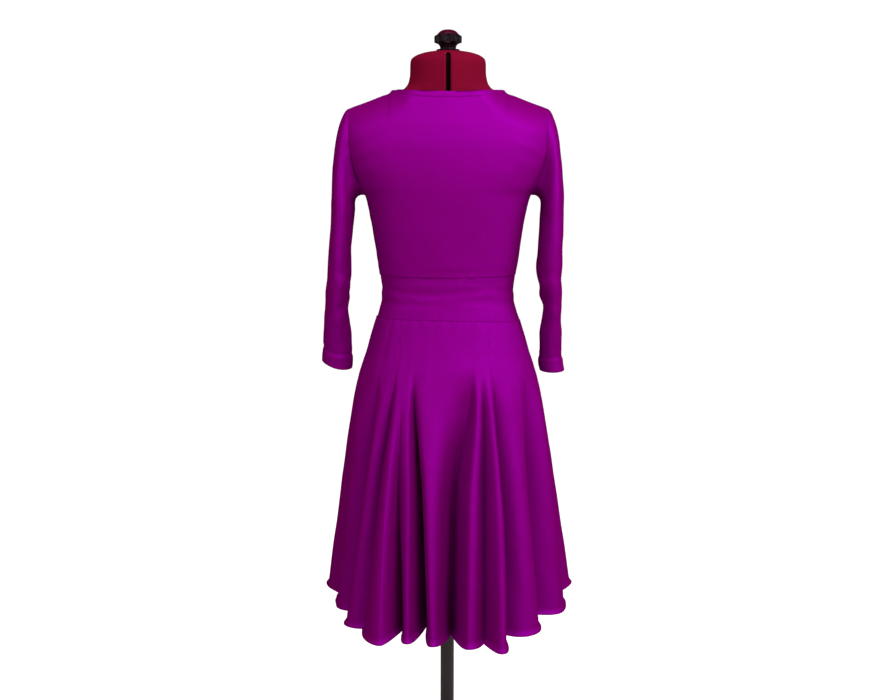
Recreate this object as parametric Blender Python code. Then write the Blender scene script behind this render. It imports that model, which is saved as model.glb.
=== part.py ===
# A long-sleeved dance dress on a limbless dress form with a pole and a round foot.
# The back of the dress faces -Y, its front faces +Y, and the foot rests on z = 0.
# All sizes are in metres and all angles in the tables are in degrees.

import math

import bpy
import numpy as np

# The dress
CLOTH = 0.0015            # thickness of every sewn piece
SEAM_GAP = 0.0004         # clear space between two pieces at a seam
ARMHOLE_GAP = 0.0009      # the same where a sleeve meets the bodice
ARMPIT_HEIGHT = 1.197
SHOULDER_TIP_HEIGHT = 1.357
NECK_POINT_X = 0.104
NECK_POINT_HEIGHT = 1.3895
BACK_NECK_DIP = 0.006     # how far the neckline drops at the centre back
FRONT_NECK_DIP = 0.046    # and at the centre front
SHOULDER_ROUNDING = 0.060  # height over which the shoulders round over to the top
BUST_HEIGHT = 1.205
BUST_X = 0.084
BUST_DEPTH = 0.013
TOP_SEAM_HEIGHT = 1.049   # bodice to waistband
TOP_SEAM_RISE = -0.001    # rise of that seam at the centre
LOW_SEAM_HEIGHT = 0.9686  # waistband to skirt, at the centre back
LOW_SEAM_SLOPE = -0.0030  # from the centre to the right side
LOW_SEAM_SAG = -0.0040    # from the centre to either side
WAIST_HALF_WIDTH = 0.138  # half width at the lower seam, the unit of those two
WAISTBAND_INSET = 0.0010  # how far the waistband lies behind the bodice's lower edge
SLEEVE_TOP_HEIGHT = 1.180  # where the sleeve's cap becomes its tube
CUFF_HEIGHT = {"right": 0.860, "left": 0.864}
CUFF_RISE = {"right": 0.001, "left": 0.016}  # how much higher the wrist hem is on the outer side
HEM_HEIGHT = 0.410
FOLD_LEVELS = (0.410, 0.6475, 0.885, 0.985)  # heights of the four angles in FOLDS
FOLD_HIGH = 0.800         # height of its third distance

# The dress form
FORM_BOTTOM = 0.700
SLOT_HALF_ANGLE = 3.9     # of the neck's upright slot, in degrees round the neck
SLOT_DEPTH = 0.012
FLANGE_RADIUS = 0.0215
FLANGE_BOTTOM = 1.4616
KNOB_LOBES = 6
POLE_RADIUS = 0.0135
BASE_RADIUS = 0.175
BASE_THICKNESS = 0.010
BASE_EDGE = 0.002         # bevel of the foot's edge
STACK_GAP = 0.0004        # between the foot, the pole, the form and the knob

PURPLE = (0.235, 0.004, 0.260)
BURGUNDY = (0.130, 0.002, 0.022)
BLACK = (0.012, 0.011, 0.012)
STEEL = (0.030, 0.030, 0.032)

# Level cuts through the upper body of the dress, outer face.
# The depths are measured from the pole's axis, and square fills the corners of the oval.
TORSO_COLUMNS = ("height", "half_width", "back", "front", "square")
TORSO = (
    (0.920, 0.1500, 0.1010, 0.1140, 0.16),
    (0.940, 0.1445, 0.0965, 0.1110, 0.17),
    (0.960, 0.1385, 0.0925, 0.1080, 0.18),
    (0.980, 0.1315, 0.0880, 0.1050, 0.20),
    (1.000, 0.1265, 0.0845, 0.1025, 0.20),
    (1.020, 0.1255, 0.0825, 0.1015, 0.20),
    (1.048, 0.1290, 0.0825, 0.1020, 0.20),
    (1.075, 0.1335, 0.0845, 0.1045, 0.21),
    (1.110, 0.1385, 0.0880, 0.1090, 0.22),
    (1.150, 0.1450, 0.0925, 0.1135, 0.24),
    (1.197, 0.1560, 0.0972, 0.1167, 0.285),
    (1.215, 0.1690, 0.0985, 0.1170, 0.30),
    (1.245, 0.1850, 0.0995, 0.1150, 0.31),
    (1.280, 0.1975, 0.0985, 0.1100, 0.31),
    (1.320, 0.2040, 0.0930, 0.1010, 0.30),
    (1.350, 0.2070, 0.0850, 0.0910, 0.28),
    (1.390, 0.2080, 0.0740, 0.0780, 0.26),
)

# The top outline of the dress from the neck out to the shoulder tip.
SHOULDER_COLUMNS = ("x", "height")
SHOULDER = (
    (0.000, 1.4700),
    (0.040, 1.4500),
    (0.060, 1.4300),
    (0.075, 1.4130),
    (0.088, 1.3995),
    (0.097, 1.3930),
    (0.104, 1.3895),
    (0.109, 1.3842),
    (0.122, 1.3798),
    (0.150, 1.3690),
    (0.184, 1.3570),
    (0.210, 1.3470),
)

# Distance of the armhole seam from the centre, behind and in front.
ARMHOLE_COLUMNS = ("height", "back", "front")
ARMHOLE = (
    (1.197, 0.1560, 0.1560),
    (1.210, 0.1610, 0.1575),
    (1.245, 0.1745, 0.1630),
    (1.280, 0.1805, 0.1700),
    (1.325, 0.1832, 0.1785),
    (1.345, 0.1839, 0.1825),
    (1.357, 0.1840, 0.1840),
)

# Level cuts through the hanging sleeves: inner and outer edge on each side, then depth.
SLEEVE_COLUMNS = ("height", "right_in", "right_out", "left_in", "left_out", "middle", "half_depth")
SLEEVE = (
    (0.858, 0.1800, 0.2272, 0.1868, 0.2430, 0.020, 0.0362),
    (0.866, 0.1790, 0.2262, 0.1865, 0.2430, 0.020, 0.0365),
    (0.874, 0.1768, 0.2240, 0.1845, 0.2435, 0.020, 0.0372),
    (0.892, 0.1775, 0.2215, 0.1845, 0.2425, 0.018, 0.0375),
    (0.898, 0.1790, 0.2205, 0.1850, 0.2415, 0.018, 0.0380),
    (0.930, 0.1780, 0.2205, 0.1855, 0.2400, 0.014, 0.0415),
    (0.960, 0.1805, 0.2170, 0.1885, 0.2370, 0.009, 0.0450),
    (0.985, 0.1820, 0.2165, 0.1905, 0.2335, 0.004, 0.0475),
    (1.010, 0.1765, 0.2170, 0.1880, 0.2320, 0.000, 0.0495),
    (1.036, 0.1710, 0.2165, 0.1845, 0.2300, -0.003, 0.0515),
    (1.065, 0.1685, 0.2180, 0.1835, 0.2280, -0.004, 0.0535),
    (1.095, 0.1700, 0.2175, 0.1830, 0.2255, -0.004, 0.0560),
    (1.130, 0.1730, 0.2185, 0.1805, 0.2220, -0.002, 0.0590),
    (1.170, 0.1750, 0.2180, 0.1760, 0.2195, 0.000, 0.0610),
)

# Level cuts through the skirt before its folds, outer face.
SKIRT_COLUMNS = ("height", "half_width", "back", "front", "square")
SKIRT = (
    (0.410, 0.2300, 0.2120, 0.2240, 0.00),
    (0.470, 0.2235, 0.2010, 0.2140, 0.00),
    (0.530, 0.2165, 0.1900, 0.2030, 0.00),
    (0.600, 0.2085, 0.1760, 0.1900, 0.02),
    (0.660, 0.2015, 0.1640, 0.1780, 0.03),
    (0.720, 0.1950, 0.1520, 0.1660, 0.05),
    (0.780, 0.1870, 0.1400, 0.1530, 0.08),
    (0.830, 0.1780, 0.1290, 0.1400, 0.11),
    (0.870, 0.1670, 0.1180, 0.1280, 0.14),
    (0.900, 0.1565, 0.1080, 0.1200, 0.16),
    (0.930, 0.1480, 0.0995, 0.1130, 0.17),
    (0.960, 0.1385, 0.0925, 0.1080, 0.18),
    (0.985, 0.1300, 0.0870, 0.1040, 0.20),
)

# The skirt's folds, a row for each ridge and each valley between two ridges.
# The angles go round from the centre back towards +X, at the four FOLD_LEVELS.
# The next three say how far it stands out at the hem, half way and at FOLD_HIGH, and start is
# the height where it begins. hold is how broad it is beside the next rows, rise lifts the hem.
ANGLE_COLUMNS = ("hem_angle", "middle_angle", "hip_angle", "waist_angle")
OUT_COLUMNS = ("hem_out", "middle_out", "high_out")
FOLD_COLUMNS = ANGLE_COLUMNS + OUT_COLUMNS + ("start", "hold", "rise")
FOLDS = (
    (-107.0, -106.0, -104.0, -104.0, 0.021, 0.012, 0.004, 0.870, 1.20, 0.003),
    (-90.0, -90.0, -90.0, -90.0, -0.018, -0.010, -0.003, 0.870, 0.90, 0.002),
    (-71.0, -70.0, -72.0, -74.0, -0.007, -0.002, 0.001, 0.870, 1.30, 0.000),
    (-58.5, -54.5, -49.5, -58.0, -0.044, -0.034, -0.012, 0.870, 0.65, 0.002),
    (-46.5, -45.3, -42.0, -50.0, 0.022, 0.013, 0.005, 0.880, 1.20, 0.000),
    (-39.5, -39.1, -35.2, -41.5, 0.012, -0.005, -0.009, 0.885, 0.80, 0.000),
    (-25.0, -28.8, -30.5, -34.0, 0.064, 0.036, 0.012, 0.885, 1.25, 0.000),
    (-21.6, -25.6, -28.0, -31.0, -0.030, 0.002, 0.009, 0.885, 0.80, 0.006),
    (-16.0, -18.9, -25.4, -28.0, 0.042, 0.026, 0.011, 0.885, 1.30, 0.000),
    (-10.9, -15.6, -22.6, -24.0, -0.080, -0.044, -0.014, 0.888, 0.70, 0.012),
    (-6.2, -9.3, -16.5, -18.0, 0.045, 0.026, 0.007, 0.885, 1.35, 0.000),
    (1.6, 3.5, 15.0, 14.0, -0.046, -0.041, -0.020, 0.888, 1.00, -0.010),
    (7.0, 10.3, 18.2, 19.0, 0.057, 0.034, 0.012, 0.885, 1.30, 0.000),
    (13.8, 17.2, 22.0, 24.0, 0.026, 0.003, -0.003, 0.880, 0.70, 0.000),
    (17.2, 21.8, 25.2, 29.0, 0.088, 0.047, 0.015, 0.885, 1.05, 0.000),
    (24.5, 29.0, 29.0, 34.0, -0.002, -0.010, -0.008, 0.885, 0.75, 0.000),
    (34.0, 37.7, 41.0, 46.0, 0.037, 0.019, 0.005, 0.880, 1.40, 0.000),
    (50.5, 52.5, 59.0, 64.0, -0.042, -0.038, -0.013, 0.870, 0.70, 0.004),
    (64.5, 67.0, 72.5, 76.0, 0.010, 0.010, 0.004, 0.870, 1.20, 0.002),
    (90.0, 90.0, 90.0, 90.0, -0.016, -0.009, -0.002, 0.870, 0.90, 0.004),
    (107.0, 106.0, 104.0, 104.0, 0.030, 0.016, 0.005, 0.870, 1.20, 0.003),
    (118.0, 118.0, 119.0, 119.0, -0.020, -0.011, -0.003, 0.870, 0.80, 0.004),
    (130.0, 130.0, 130.0, 130.0, 0.022, 0.013, 0.004, 0.875, 1.25, 0.000),
    (148.0, 147.5, 145.5, 143.0, -0.034, -0.020, -0.007, 0.880, 0.80, 0.008),
    (156.0, 155.5, 153.5, 151.0, 0.034, 0.020, 0.007, 0.880, 1.20, -0.004),
    (166.5, 166.0, 165.0, 164.0, -0.046, -0.028, -0.011, 0.885, 0.75, 0.010),
    (177.0, 177.0, 177.0, 177.0, 0.026, 0.016, 0.006, 0.885, 1.30, 0.000),
    (188.0, 188.5, 189.0, 190.0, -0.030, -0.018, -0.007, 0.880, 0.80, 0.006),
    (199.0, 200.0, 201.0, 204.0, 0.038, 0.023, 0.009, 0.880, 1.20, -0.002),
    (212.0, 212.5, 214.5, 217.0, -0.036, -0.021, -0.008, 0.880, 0.80, 0.008),
    (223.0, 223.5, 225.0, 227.0, 0.020, 0.012, 0.004, 0.875, 1.25, 0.000),
    (233.0, 233.5, 234.5, 236.0, -0.022, -0.012, -0.003, 0.870, 0.85, 0.004),
    (241.0, 241.5, 242.0, 243.0, 0.010, 0.006, 0.002, 0.870, 1.15, 0.001),
    (246.5, 247.0, 248.5, 249.0, -0.010, -0.005, -0.001, 0.870, 0.90, 0.003),
)

# Each gore lies between two of those rows, counted from 0, and strips is how many strips it is
# drawn with from one row to the next.
GORES = (
    ("skirt_back", 5, 15, 4),
    ("skirt_side_back_right", 15, 19, 6),
    ("skirt_side_front_right", 19, 23, 5),
    ("skirt_front", 23, 29, 4),
    ("skirt_side_front_left", 29, 35, 4),
    ("skirt_side_back_left", 1, 5, 6),
)
SKIRT_ROWS = (0.0, 0.06, 0.12, 0.17, 0.23, 0.31, 0.40, 0.50, 0.61, 0.73, 0.86, 1.0)

# Level cuts through the dress form.
FORM_COLUMNS = ("height", "half_width", "back", "front", "square", "slot")
FORM = (
    (0.7000, 0.1180, 0.0720, 0.0760, 0.10, 0.0),
    (0.7030, 0.1300, 0.0840, 0.0880, 0.10, 0.0),
    (0.7120, 0.1390, 0.0920, 0.0960, 0.10, 0.0),
    (0.7500, 0.1490, 0.1010, 0.1050, 0.10, 0.0),
    (0.8000, 0.1560, 0.1060, 0.1120, 0.12, 0.0),
    (0.8500, 0.1540, 0.1040, 0.1130, 0.13, 0.0),
    (0.9000, 0.1460, 0.0985, 0.1090, 0.14, 0.0),
    (0.9400, 0.1370, 0.0910, 0.1040, 0.16, 0.0),
    (0.9700, 0.1290, 0.0840, 0.1000, 0.18, 0.0),
    (1.0000, 0.1208, 0.0785, 0.0965, 0.19, 0.0),
    (1.0300, 0.1198, 0.0765, 0.0955, 0.19, 0.0),
    (1.0750, 0.1280, 0.0790, 0.0990, 0.20, 0.0),
    (1.1100, 0.1340, 0.0835, 0.1045, 0.21, 0.0),
    (1.1500, 0.1400, 0.0880, 0.1090, 0.23, 0.0),
    (1.1800, 0.1470, 0.0915, 0.1115, 0.26, 0.0),
    (1.2100, 0.1590, 0.0935, 0.1125, 0.29, 0.0),
    (1.2400, 0.1740, 0.0945, 0.1105, 0.31, 0.0),
    (1.2800, 0.1900, 0.0935, 0.1045, 0.31, 0.0),
    (1.3150, 0.1950, 0.0890, 0.0975, 0.26, 0.0),
    (1.3350, 0.1900, 0.0845, 0.0900, 0.16, 0.0),
    (1.3500, 0.1790, 0.0760, 0.0780, 0.00, 0.5),
    (1.3560, 0.1755, 0.0720, 0.0730, -0.12, 0.8),
    (1.3620, 0.1622, 0.0690, 0.0680, -0.24, 1.0),
    (1.3710, 0.1386, 0.0662, 0.0645, -0.26, 1.0),
    (1.3790, 0.1178, 0.0640, 0.0615, -0.30, 1.0),
    (1.3840, 0.1015, 0.0630, 0.0605, -0.30, 1.0),
    (1.3880, 0.0905, 0.0625, 0.0618, -0.08, 1.0),
    (1.3940, 0.0800, 0.0620, 0.0622, 0.00, 1.0),
    (1.4040, 0.0735, 0.0612, 0.0612, 0.00, 1.0),
    (1.4200, 0.0705, 0.0610, 0.0610, 0.00, 1.0),
    (1.4380, 0.0700, 0.0610, 0.0610, 0.00, 1.0),
    (1.4450, 0.0685, 0.0597, 0.0597, 0.00, 1.0),
    (1.4510, 0.0620, 0.0540, 0.0540, 0.00, 0.9),
    (1.4560, 0.0500, 0.0435, 0.0435, 0.00, 0.7),
    (1.4595, 0.0340, 0.0300, 0.0300, 0.00, 0.4),
    (1.4612, 0.0170, 0.0150, 0.0150, 0.00, 0.0),
)
PLATE_INSET = 0.0065      # the arm plates stand this far inside the armholes

# The knob from its flange up: height, radius, and how far its lobes stand out.
KNOB_COLUMNS = ("height", "radius", "lobe")
KNOB = (
    (0.0000, FLANGE_RADIUS, 0.0),
    (0.0018, FLANGE_RADIUS, 0.0),
    (0.0030, 0.0145, 0.0),
    (0.0100, 0.0165, 0.0),
    (0.0128, 0.0200, 0.0010),
    (0.0142, 0.0215, 0.0040),
    (0.0262, 0.0215, 0.0040),
    (0.0282, 0.0205, 0.0012),
    (0.0305, 0.0185, 0.0),
    (0.0352, 0.0140, 0.0),
    (0.0378, 0.0070, 0.0),
)


def clear_scene():
    """Removes every object from the scene."""
    for item in list(bpy.data.objects):
        bpy.data.objects.remove(item, do_unlink=True)


def follow(rows, columns, name, at):
    """A named column of a table at the places in `at`, joined by smooth pieces without overshoot."""
    place = np.array([row[0] for row in rows])
    value = np.array([row[columns.index(name)] for row in rows])
    step = np.diff(place)
    slope = np.diff(value) / step
    bend = np.zeros(len(value))
    bend[0] = slope[0]
    bend[-1] = slope[-1]
    same = slope[:-1] * slope[1:] > 0
    both = slope[:-1] + slope[1:]
    bend[1:-1] = np.where(same, 2 * slope[:-1] * slope[1:] / np.where(same, both, 1.0), 0.0)
    at = np.clip(np.asarray(at, float), place[0], place[-1])
    k = np.clip(np.searchsorted(place, at) - 1, 0, len(step) - 1)
    t = (at - place[k]) / step[k]
    first = (1 + 2 * t) * (1 - t) ** 2 * value[k] + t * (1 - t) ** 2 * step[k] * bend[k]
    second = t * t * (3 - 2 * t) * value[k + 1] - t * t * (1 - t) * step[k] * bend[k + 1]
    return first + second


def material(name, colour, roughness, metallic=0.0):
    """A plain material of one colour."""
    made = bpy.data.materials.new(name)
    made.use_nodes = True
    shader = made.node_tree.nodes["Principled BSDF"]
    shader.inputs["Base Color"].default_value = (*colour, 1.0)
    shader.inputs["Roughness"].default_value = roughness
    shader.inputs["Metallic"].default_value = metallic
    return made


def add_node(name, points, faces, look):
    """One closed body with smooth shading."""
    mesh = bpy.data.meshes.new(name)
    mesh.from_pydata(points.reshape(-1, 3).tolist(), [], faces)
    mesh.polygons.foreach_set("use_smooth", [True] * len(mesh.polygons))
    mesh.materials.append(look)
    mesh.update()
    node = bpy.data.objects.new(name, mesh)
    bpy.context.scene.collection.objects.link(node)
    return node


def outward(surface, across, down, ends, around):
    """Unit normals of surface(across, down), with one-sided steps at its free edges."""
    step = 1e-4
    low_across = across - step if around else np.maximum(across - step, ends[0])
    high_across = across + step if around else np.minimum(across + step, ends[1])
    low_down = np.maximum(down - step, ends[2])
    high_down = np.minimum(down + step, ends[3])
    along = surface(high_across, down) - surface(low_across, down)
    fall = surface(across, high_down) - surface(across, low_down)
    normal = np.cross(along, fall)
    return normal / np.linalg.norm(normal, axis=-1, keepdims=True)


def cloth(name, surface, across, down, look, around=False, turn=1.0, facing=0.0):
    """A wall CLOTH thick behind surface(across, down), open or running round like a tube.

    turn is 1 where across, then down, face outward, and facing keeps a half of the body on its
    own side of the plane of the side and shoulder seams.
    """
    grid_across, grid_down = np.meshgrid(across, down)
    ends = (across[0], across[-1], down[0], down[-1])
    outer = surface(grid_across, grid_down)
    inner = outer - turn * CLOTH * outward(surface, grid_across, grid_down, ends, around)
    if facing:
        inner[..., 1] = facing * np.maximum(facing * inner[..., 1], SEAM_GAP / 2)
    rows, columns = grid_across.shape
    points = np.concatenate([outer.reshape(-1, 3), inner.reshape(-1, 3)])
    back = rows * columns
    faces = []
    last = columns if around else columns - 1
    for row in range(rows - 1):
        for column in range(last):
            a = row * columns + column
            b = row * columns + (column + 1) % columns
            faces.append((a, b, b + columns, a + columns))
            faces.append((back + a, back + a + columns, back + b + columns, back + b))
    for column in range(last):
        a, b = column, (column + 1) % columns
        faces.append((a, back + a, back + b, b))
        a, b = a + (rows - 1) * columns, b + (rows - 1) * columns
        faces.append((a, b, back + b, back + a))
    if not around:
        for row in range(rows - 1):
            a, b = row * columns, (row + 1) * columns
            faces.append((a, b, back + b, back + a))
            a, b = a + columns - 1, b + columns - 1
            faces.append((a, back + a, back + b, b))
    if turn < 0:
        faces = [face[::-1] for face in faces]
    return add_node(name, points, faces, look)


def stacked(name, rings, look):
    """A solid through level rings from the bottom up, closed with a fan at each end."""
    rings = np.asarray(rings)
    rows, columns = rings.shape[:2]
    centres = np.stack([rings[0].mean(axis=0), rings[-1].mean(axis=0)])
    points = np.concatenate([rings.reshape(-1, 3), centres])
    foot, top = rows * columns, rows * columns + 1
    faces = []
    for column in range(columns):
        beside = (column + 1) % columns
        faces.append((foot, beside, column))
        faces.append((top, (rows - 1) * columns + column, (rows - 1) * columns + beside))
        for row in range(rows - 1):
            a, b = row * columns + column, row * columns + beside
            faces.append((a, b, b + columns, a + columns))
    return add_node(name, points, faces, look)


def oval(angle, half_width, back, front, square):
    """A point of a level oval at an angle from the centre back, with its corners filled by `square`."""
    side, depth = np.sin(angle), np.cos(angle)
    reach = np.where(depth > 0, back, front)
    return half_width * side, -reach * depth * (1 + square * side**2)


def shoulder_share(x, z):
    """How much of the body's depth is left near the top of the shoulders, 0 on the shoulder line."""
    below = follow(SHOULDER, SHOULDER_COLUMNS, "height", np.abs(x)) - z
    share = np.clip(1 - below / SHOULDER_ROUNDING, 0, 1)
    return np.sqrt(np.clip(1 - share**2, 0, 1))


def body_depth(x, z, side):
    """Depth of the upper body's face at x and z, behind for 'back' and before for 'front'."""
    width = follow(TORSO, TORSO_COLUMNS, "half_width", z)
    depth = follow(TORSO, TORSO_COLUMNS, side, z)
    square = follow(TORSO, TORSO_COLUMNS, "square", z)
    share = np.clip(np.abs(x) / width, 0, 1)
    face = depth * np.sqrt(1 - share**2) * (1 + square * share**2)
    if side == "front":
        across = (np.abs(x) - BUST_X) / 0.050
        up = (z - BUST_HEIGHT) / 0.055
        face = face + BUST_DEPTH * np.exp(-across**2 - up**2) * np.sqrt(1 - share**2)
    return face * shoulder_share(x, z)


def top_seam(x):
    """Height of the seam between bodice and waistband."""
    share = x / WAIST_HALF_WIDTH
    return TOP_SEAM_HEIGHT + TOP_SEAM_RISE * (1 - share**2)


def low_seam(x):
    """Height of the seam between waistband and skirt."""
    share = x / WAIST_HALF_WIDTH
    return LOW_SEAM_HEIGHT + LOW_SEAM_SLOPE * share + LOW_SEAM_SAG * share**2


def bodice_surface(side):
    """The back or front bodice, from the waist seam at 0 up to the neckline and shoulders at 1."""
    facing = -1.0 if side == "back" else 1.0
    dip = BACK_NECK_DIP if side == "back" else FRONT_NECK_DIP
    armpit = 0.40

    def surface(angle, up):
        # edge is the height at the panel's own side, at the side seam and then the armhole
        straight = TOP_SEAM_HEIGHT + SEAM_GAP / 2
        low = straight + (ARMPIT_HEIGHT - straight) * np.clip(up / armpit, 0, 1)
        turn = np.clip((up - armpit) / (1 - armpit), 0, 1) * math.pi / 2
        edge = low + (SHOULDER_TIP_HEIGHT - ARMPIT_HEIGHT) * np.sin(turn)
        half = np.where(
            edge > ARMPIT_HEIGHT,
            follow(ARMHOLE, ARMHOLE_COLUMNS, side, edge),
            follow(TORSO, TORSO_COLUMNS, "half_width", edge),
        )
        x = half * np.sin(angle)
        scoop = np.clip(1 - (np.abs(x) / NECK_POINT_X) ** 2, 0, 1)
        neck = NECK_POINT_HEIGHT - dip * np.sqrt(scoop) * (0.35 + 0.65 * scoop)
        shoulder = follow(SHOULDER, SHOULDER_COLUMNS, "height", np.abs(x))
        top = np.where(np.abs(x) < NECK_POINT_X, neck, shoulder)
        risen = np.clip((edge - ARMPIT_HEIGHT) / (SHOULDER_TIP_HEIGHT - ARMPIT_HEIGHT), 0, 1)
        z = edge + risen**2 * (top - SHOULDER_TIP_HEIGHT)
        z = z + (top_seam(x) - TOP_SEAM_HEIGHT) * np.clip(1 - up / armpit, 0, 1)
        y = facing * (body_depth(x, z, side) + SEAM_GAP / 2)
        return np.stack([x, y, z], axis=-1)

    return surface


def waistband_surface(side):
    """The back or front waistband, from its lower seam at 0 up to its top seam at 1."""
    facing = -1.0 if side == "back" else 1.0

    def surface(angle, up):
        x = WAIST_HALF_WIDTH * np.sin(angle)
        bottom = low_seam(x) + SEAM_GAP / 2
        z = bottom + (top_seam(x) - SEAM_GAP / 2 - bottom) * up
        half = follow(TORSO, TORSO_COLUMNS, "half_width", z) - WAISTBAND_INSET
        depth = follow(TORSO, TORSO_COLUMNS, side, z) - WAISTBAND_INSET
        square = follow(TORSO, TORSO_COLUMNS, "square", z)
        x = half * np.sin(angle)
        y = depth * np.cos(angle) * (1 + square * np.sin(angle) ** 2) + SEAM_GAP / 2
        return np.stack([x, facing * y, z], axis=-1)

    return surface


def armhole_point(turn, hand):
    """A point of the armhole seam: turn 0 at the shoulder, a quarter behind, half at the armpit."""
    middle = (SHOULDER_TIP_HEIGHT + ARMPIT_HEIGHT) / 2
    z = middle + (SHOULDER_TIP_HEIGHT - ARMPIT_HEIGHT) / 2 * np.cos(turn)
    behind = np.sin(turn) > 0
    x_back = follow(ARMHOLE, ARMHOLE_COLUMNS, "back", z)
    x_front = follow(ARMHOLE, ARMHOLE_COLUMNS, "front", z)
    y_back = -body_depth(x_back, z, "back") - SEAM_GAP / 2 * np.abs(np.sin(turn))
    y_front = body_depth(x_front, z, "front") + SEAM_GAP / 2 * np.abs(np.sin(turn))
    x = np.where(behind, x_back, x_front) + ARMHOLE_GAP
    return np.stack([hand * x, np.where(behind, y_back, y_front), z], axis=-1)


def sleeve_ring(turn, z, hand):
    """A point of the hanging sleeve's level cut, with turn 0 on the outer side."""
    label = "right" if hand > 0 else "left"
    inside = follow(SLEEVE, SLEEVE_COLUMNS, label + "_in", z)
    outside = follow(SLEEVE, SLEEVE_COLUMNS, label + "_out", z)
    half_depth = follow(SLEEVE, SLEEVE_COLUMNS, "half_depth", z)
    x = (inside + outside) / 2 + (outside - inside) / 2 * np.cos(turn)
    y = follow(SLEEVE, SLEEVE_COLUMNS, "middle", z) - half_depth * np.sin(turn)
    return np.stack([hand * x, y, z], axis=-1)


def sleeve_surface(hand):
    """A sleeve: down 0 to 1 is its rounded cap, and 1 to 2 its tube to the wrist."""
    label = "right" if hand > 0 else "left"

    def surface(turn, down):
        start = armhole_point(turn, hand)
        end = sleeve_ring(turn, np.full_like(turn, SLEEVE_TOP_HEIGHT), hand)
        leave = 0.044 + 0.022 * np.cos(turn)
        under = (0.5 - 0.5 * np.cos(turn)) ** 4  # 1 at the armpit, which is squarer
        arrive = 0.105 + 0.085 * np.cos(turn) + 0.025 * under
        sink = -0.30 + 0.05 * np.cos(turn) + 0.45 * under
        out = np.stack([hand * leave, -0.10 * leave * np.sin(turn), sink * leave], axis=-1)
        fall = np.stack([0 * arrive, 0 * arrive, -arrive], axis=-1)
        t = np.clip(down, 0, 1)[..., None]
        cap = (1 + 2 * t) * (1 - t) ** 2 * start + t * (1 - t) ** 2 * out
        cap = cap + t * t * (3 - 2 * t) * end - t * t * (1 - t) * fall
        low = CUFF_HEIGHT[label] + CUFF_RISE[label] * (0.5 + 0.5 * np.cos(turn)) ** 2
        height = SLEEVE_TOP_HEIGHT + (low - SLEEVE_TOP_HEIGHT) * np.clip(down - 1, 0, 1)
        return np.where(down[..., None] > 1, sleeve_ring(turn, height, hand), cap)

    return surface


def fold_angle(row, z):
    """Angle of a fold in degrees at a height; rows past the last one go round again."""
    wrap, row = divmod(row, len(FOLDS))
    angles = [FOLDS[row][FOLD_COLUMNS.index(name)] for name in ANGLE_COLUMNS]
    curve = tuple(zip(FOLD_LEVELS, angles))
    return follow(curve, ("height", "angle"), "angle", z) + 360 * wrap


def fold_out(row, z):
    """How far a fold stands out at a height, from nothing at its start."""
    values = dict(zip(FOLD_COLUMNS, FOLDS[row % len(FOLDS)]))
    low, middle, _, waist = FOLD_LEVELS
    heights = (low, middle, FOLD_HIGH, values["start"], waist)
    outs = [values[name] for name in OUT_COLUMNS] + [0.0, 0.0]
    return follow(tuple(zip(heights, outs)), ("height", "out"), "out", z)


def fold_value(row, name):
    """A named value of a fold."""
    return FOLDS[row % len(FOLDS)][FOLD_COLUMNS.index(name)]


def fold_share(row, t):
    """How far the cloth has gone over from a fold to the next one at the share t of the way.

    It is a smoothstep, drawn out beside the fold that is held longer.
    """
    ratio = fold_value(row, "hold") / fold_value(row + 1, "hold")
    share = t**ratio if ratio < 1 else 1 - (1 - t) ** (1 / ratio)
    return share * share * (3 - 2 * share)


def gore_surface(first, last):
    """A gore from fold row `first` to row `last`, and from the waistband at 0 down to the hem at 1."""
    margin = math.degrees(0.8 * SEAM_GAP / WAIST_HALF_WIDTH)

    def surface(at, down):
        level = LOW_SEAM_HEIGHT + (HEM_HEIGHT - LOW_SEAM_HEIGHT) * down
        row = np.clip(np.floor(at).astype(int), first, last - 1)
        parts = [np.zeros_like(at) for _ in range(3)]
        degrees, lift, share = parts
        for k in range(first, last):
            here = row == k
            t = at[here] - k
            share[here] = fold_share(k, t)
            left = fold_angle(k, level[here])
            degrees[here] = left + (fold_angle(k + 1, level[here]) - left) * t
            rise = fold_value(k, "rise")
            lift[here] = rise + (fold_value(k + 1, "rise") - rise) * share[here]
        angle = np.radians(degrees + margin * (1 - 2 * (at - first) / (last - first)))
        top = low_seam(WAIST_HALF_WIDTH * np.sin(angle)) - SEAM_GAP / 2
        z = top + (HEM_HEIGHT + lift - top) * down
        out = np.zeros_like(z)
        for k in range(first, last):
            here = row == k
            near = fold_out(k, z[here])
            out[here] = near + (fold_out(k + 1, z[here]) - near) * share[here]
        x, y = skirt_point(angle, z, out)
        return np.stack([x, y, z], axis=-1)

    return surface


def skirt_point(angle, z, out):
    """A point of the skirt's outer face, set out from the level oval along its normal."""
    half = follow(SKIRT, SKIRT_COLUMNS, "half_width", z)
    back = follow(SKIRT, SKIRT_COLUMNS, "back", z)
    front = follow(SKIRT, SKIRT_COLUMNS, "front", z)
    square = follow(SKIRT, SKIRT_COLUMNS, "square", z)
    x, y = oval(angle, half, back, front, square)
    reach = np.where(np.cos(angle) > 0, back, front)
    normal_x = np.sin(angle) * reach
    normal_y = -np.cos(angle) * half
    length = np.sqrt(normal_x**2 + normal_y**2)
    return x + out * normal_x / length, y + out * normal_y / length


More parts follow.
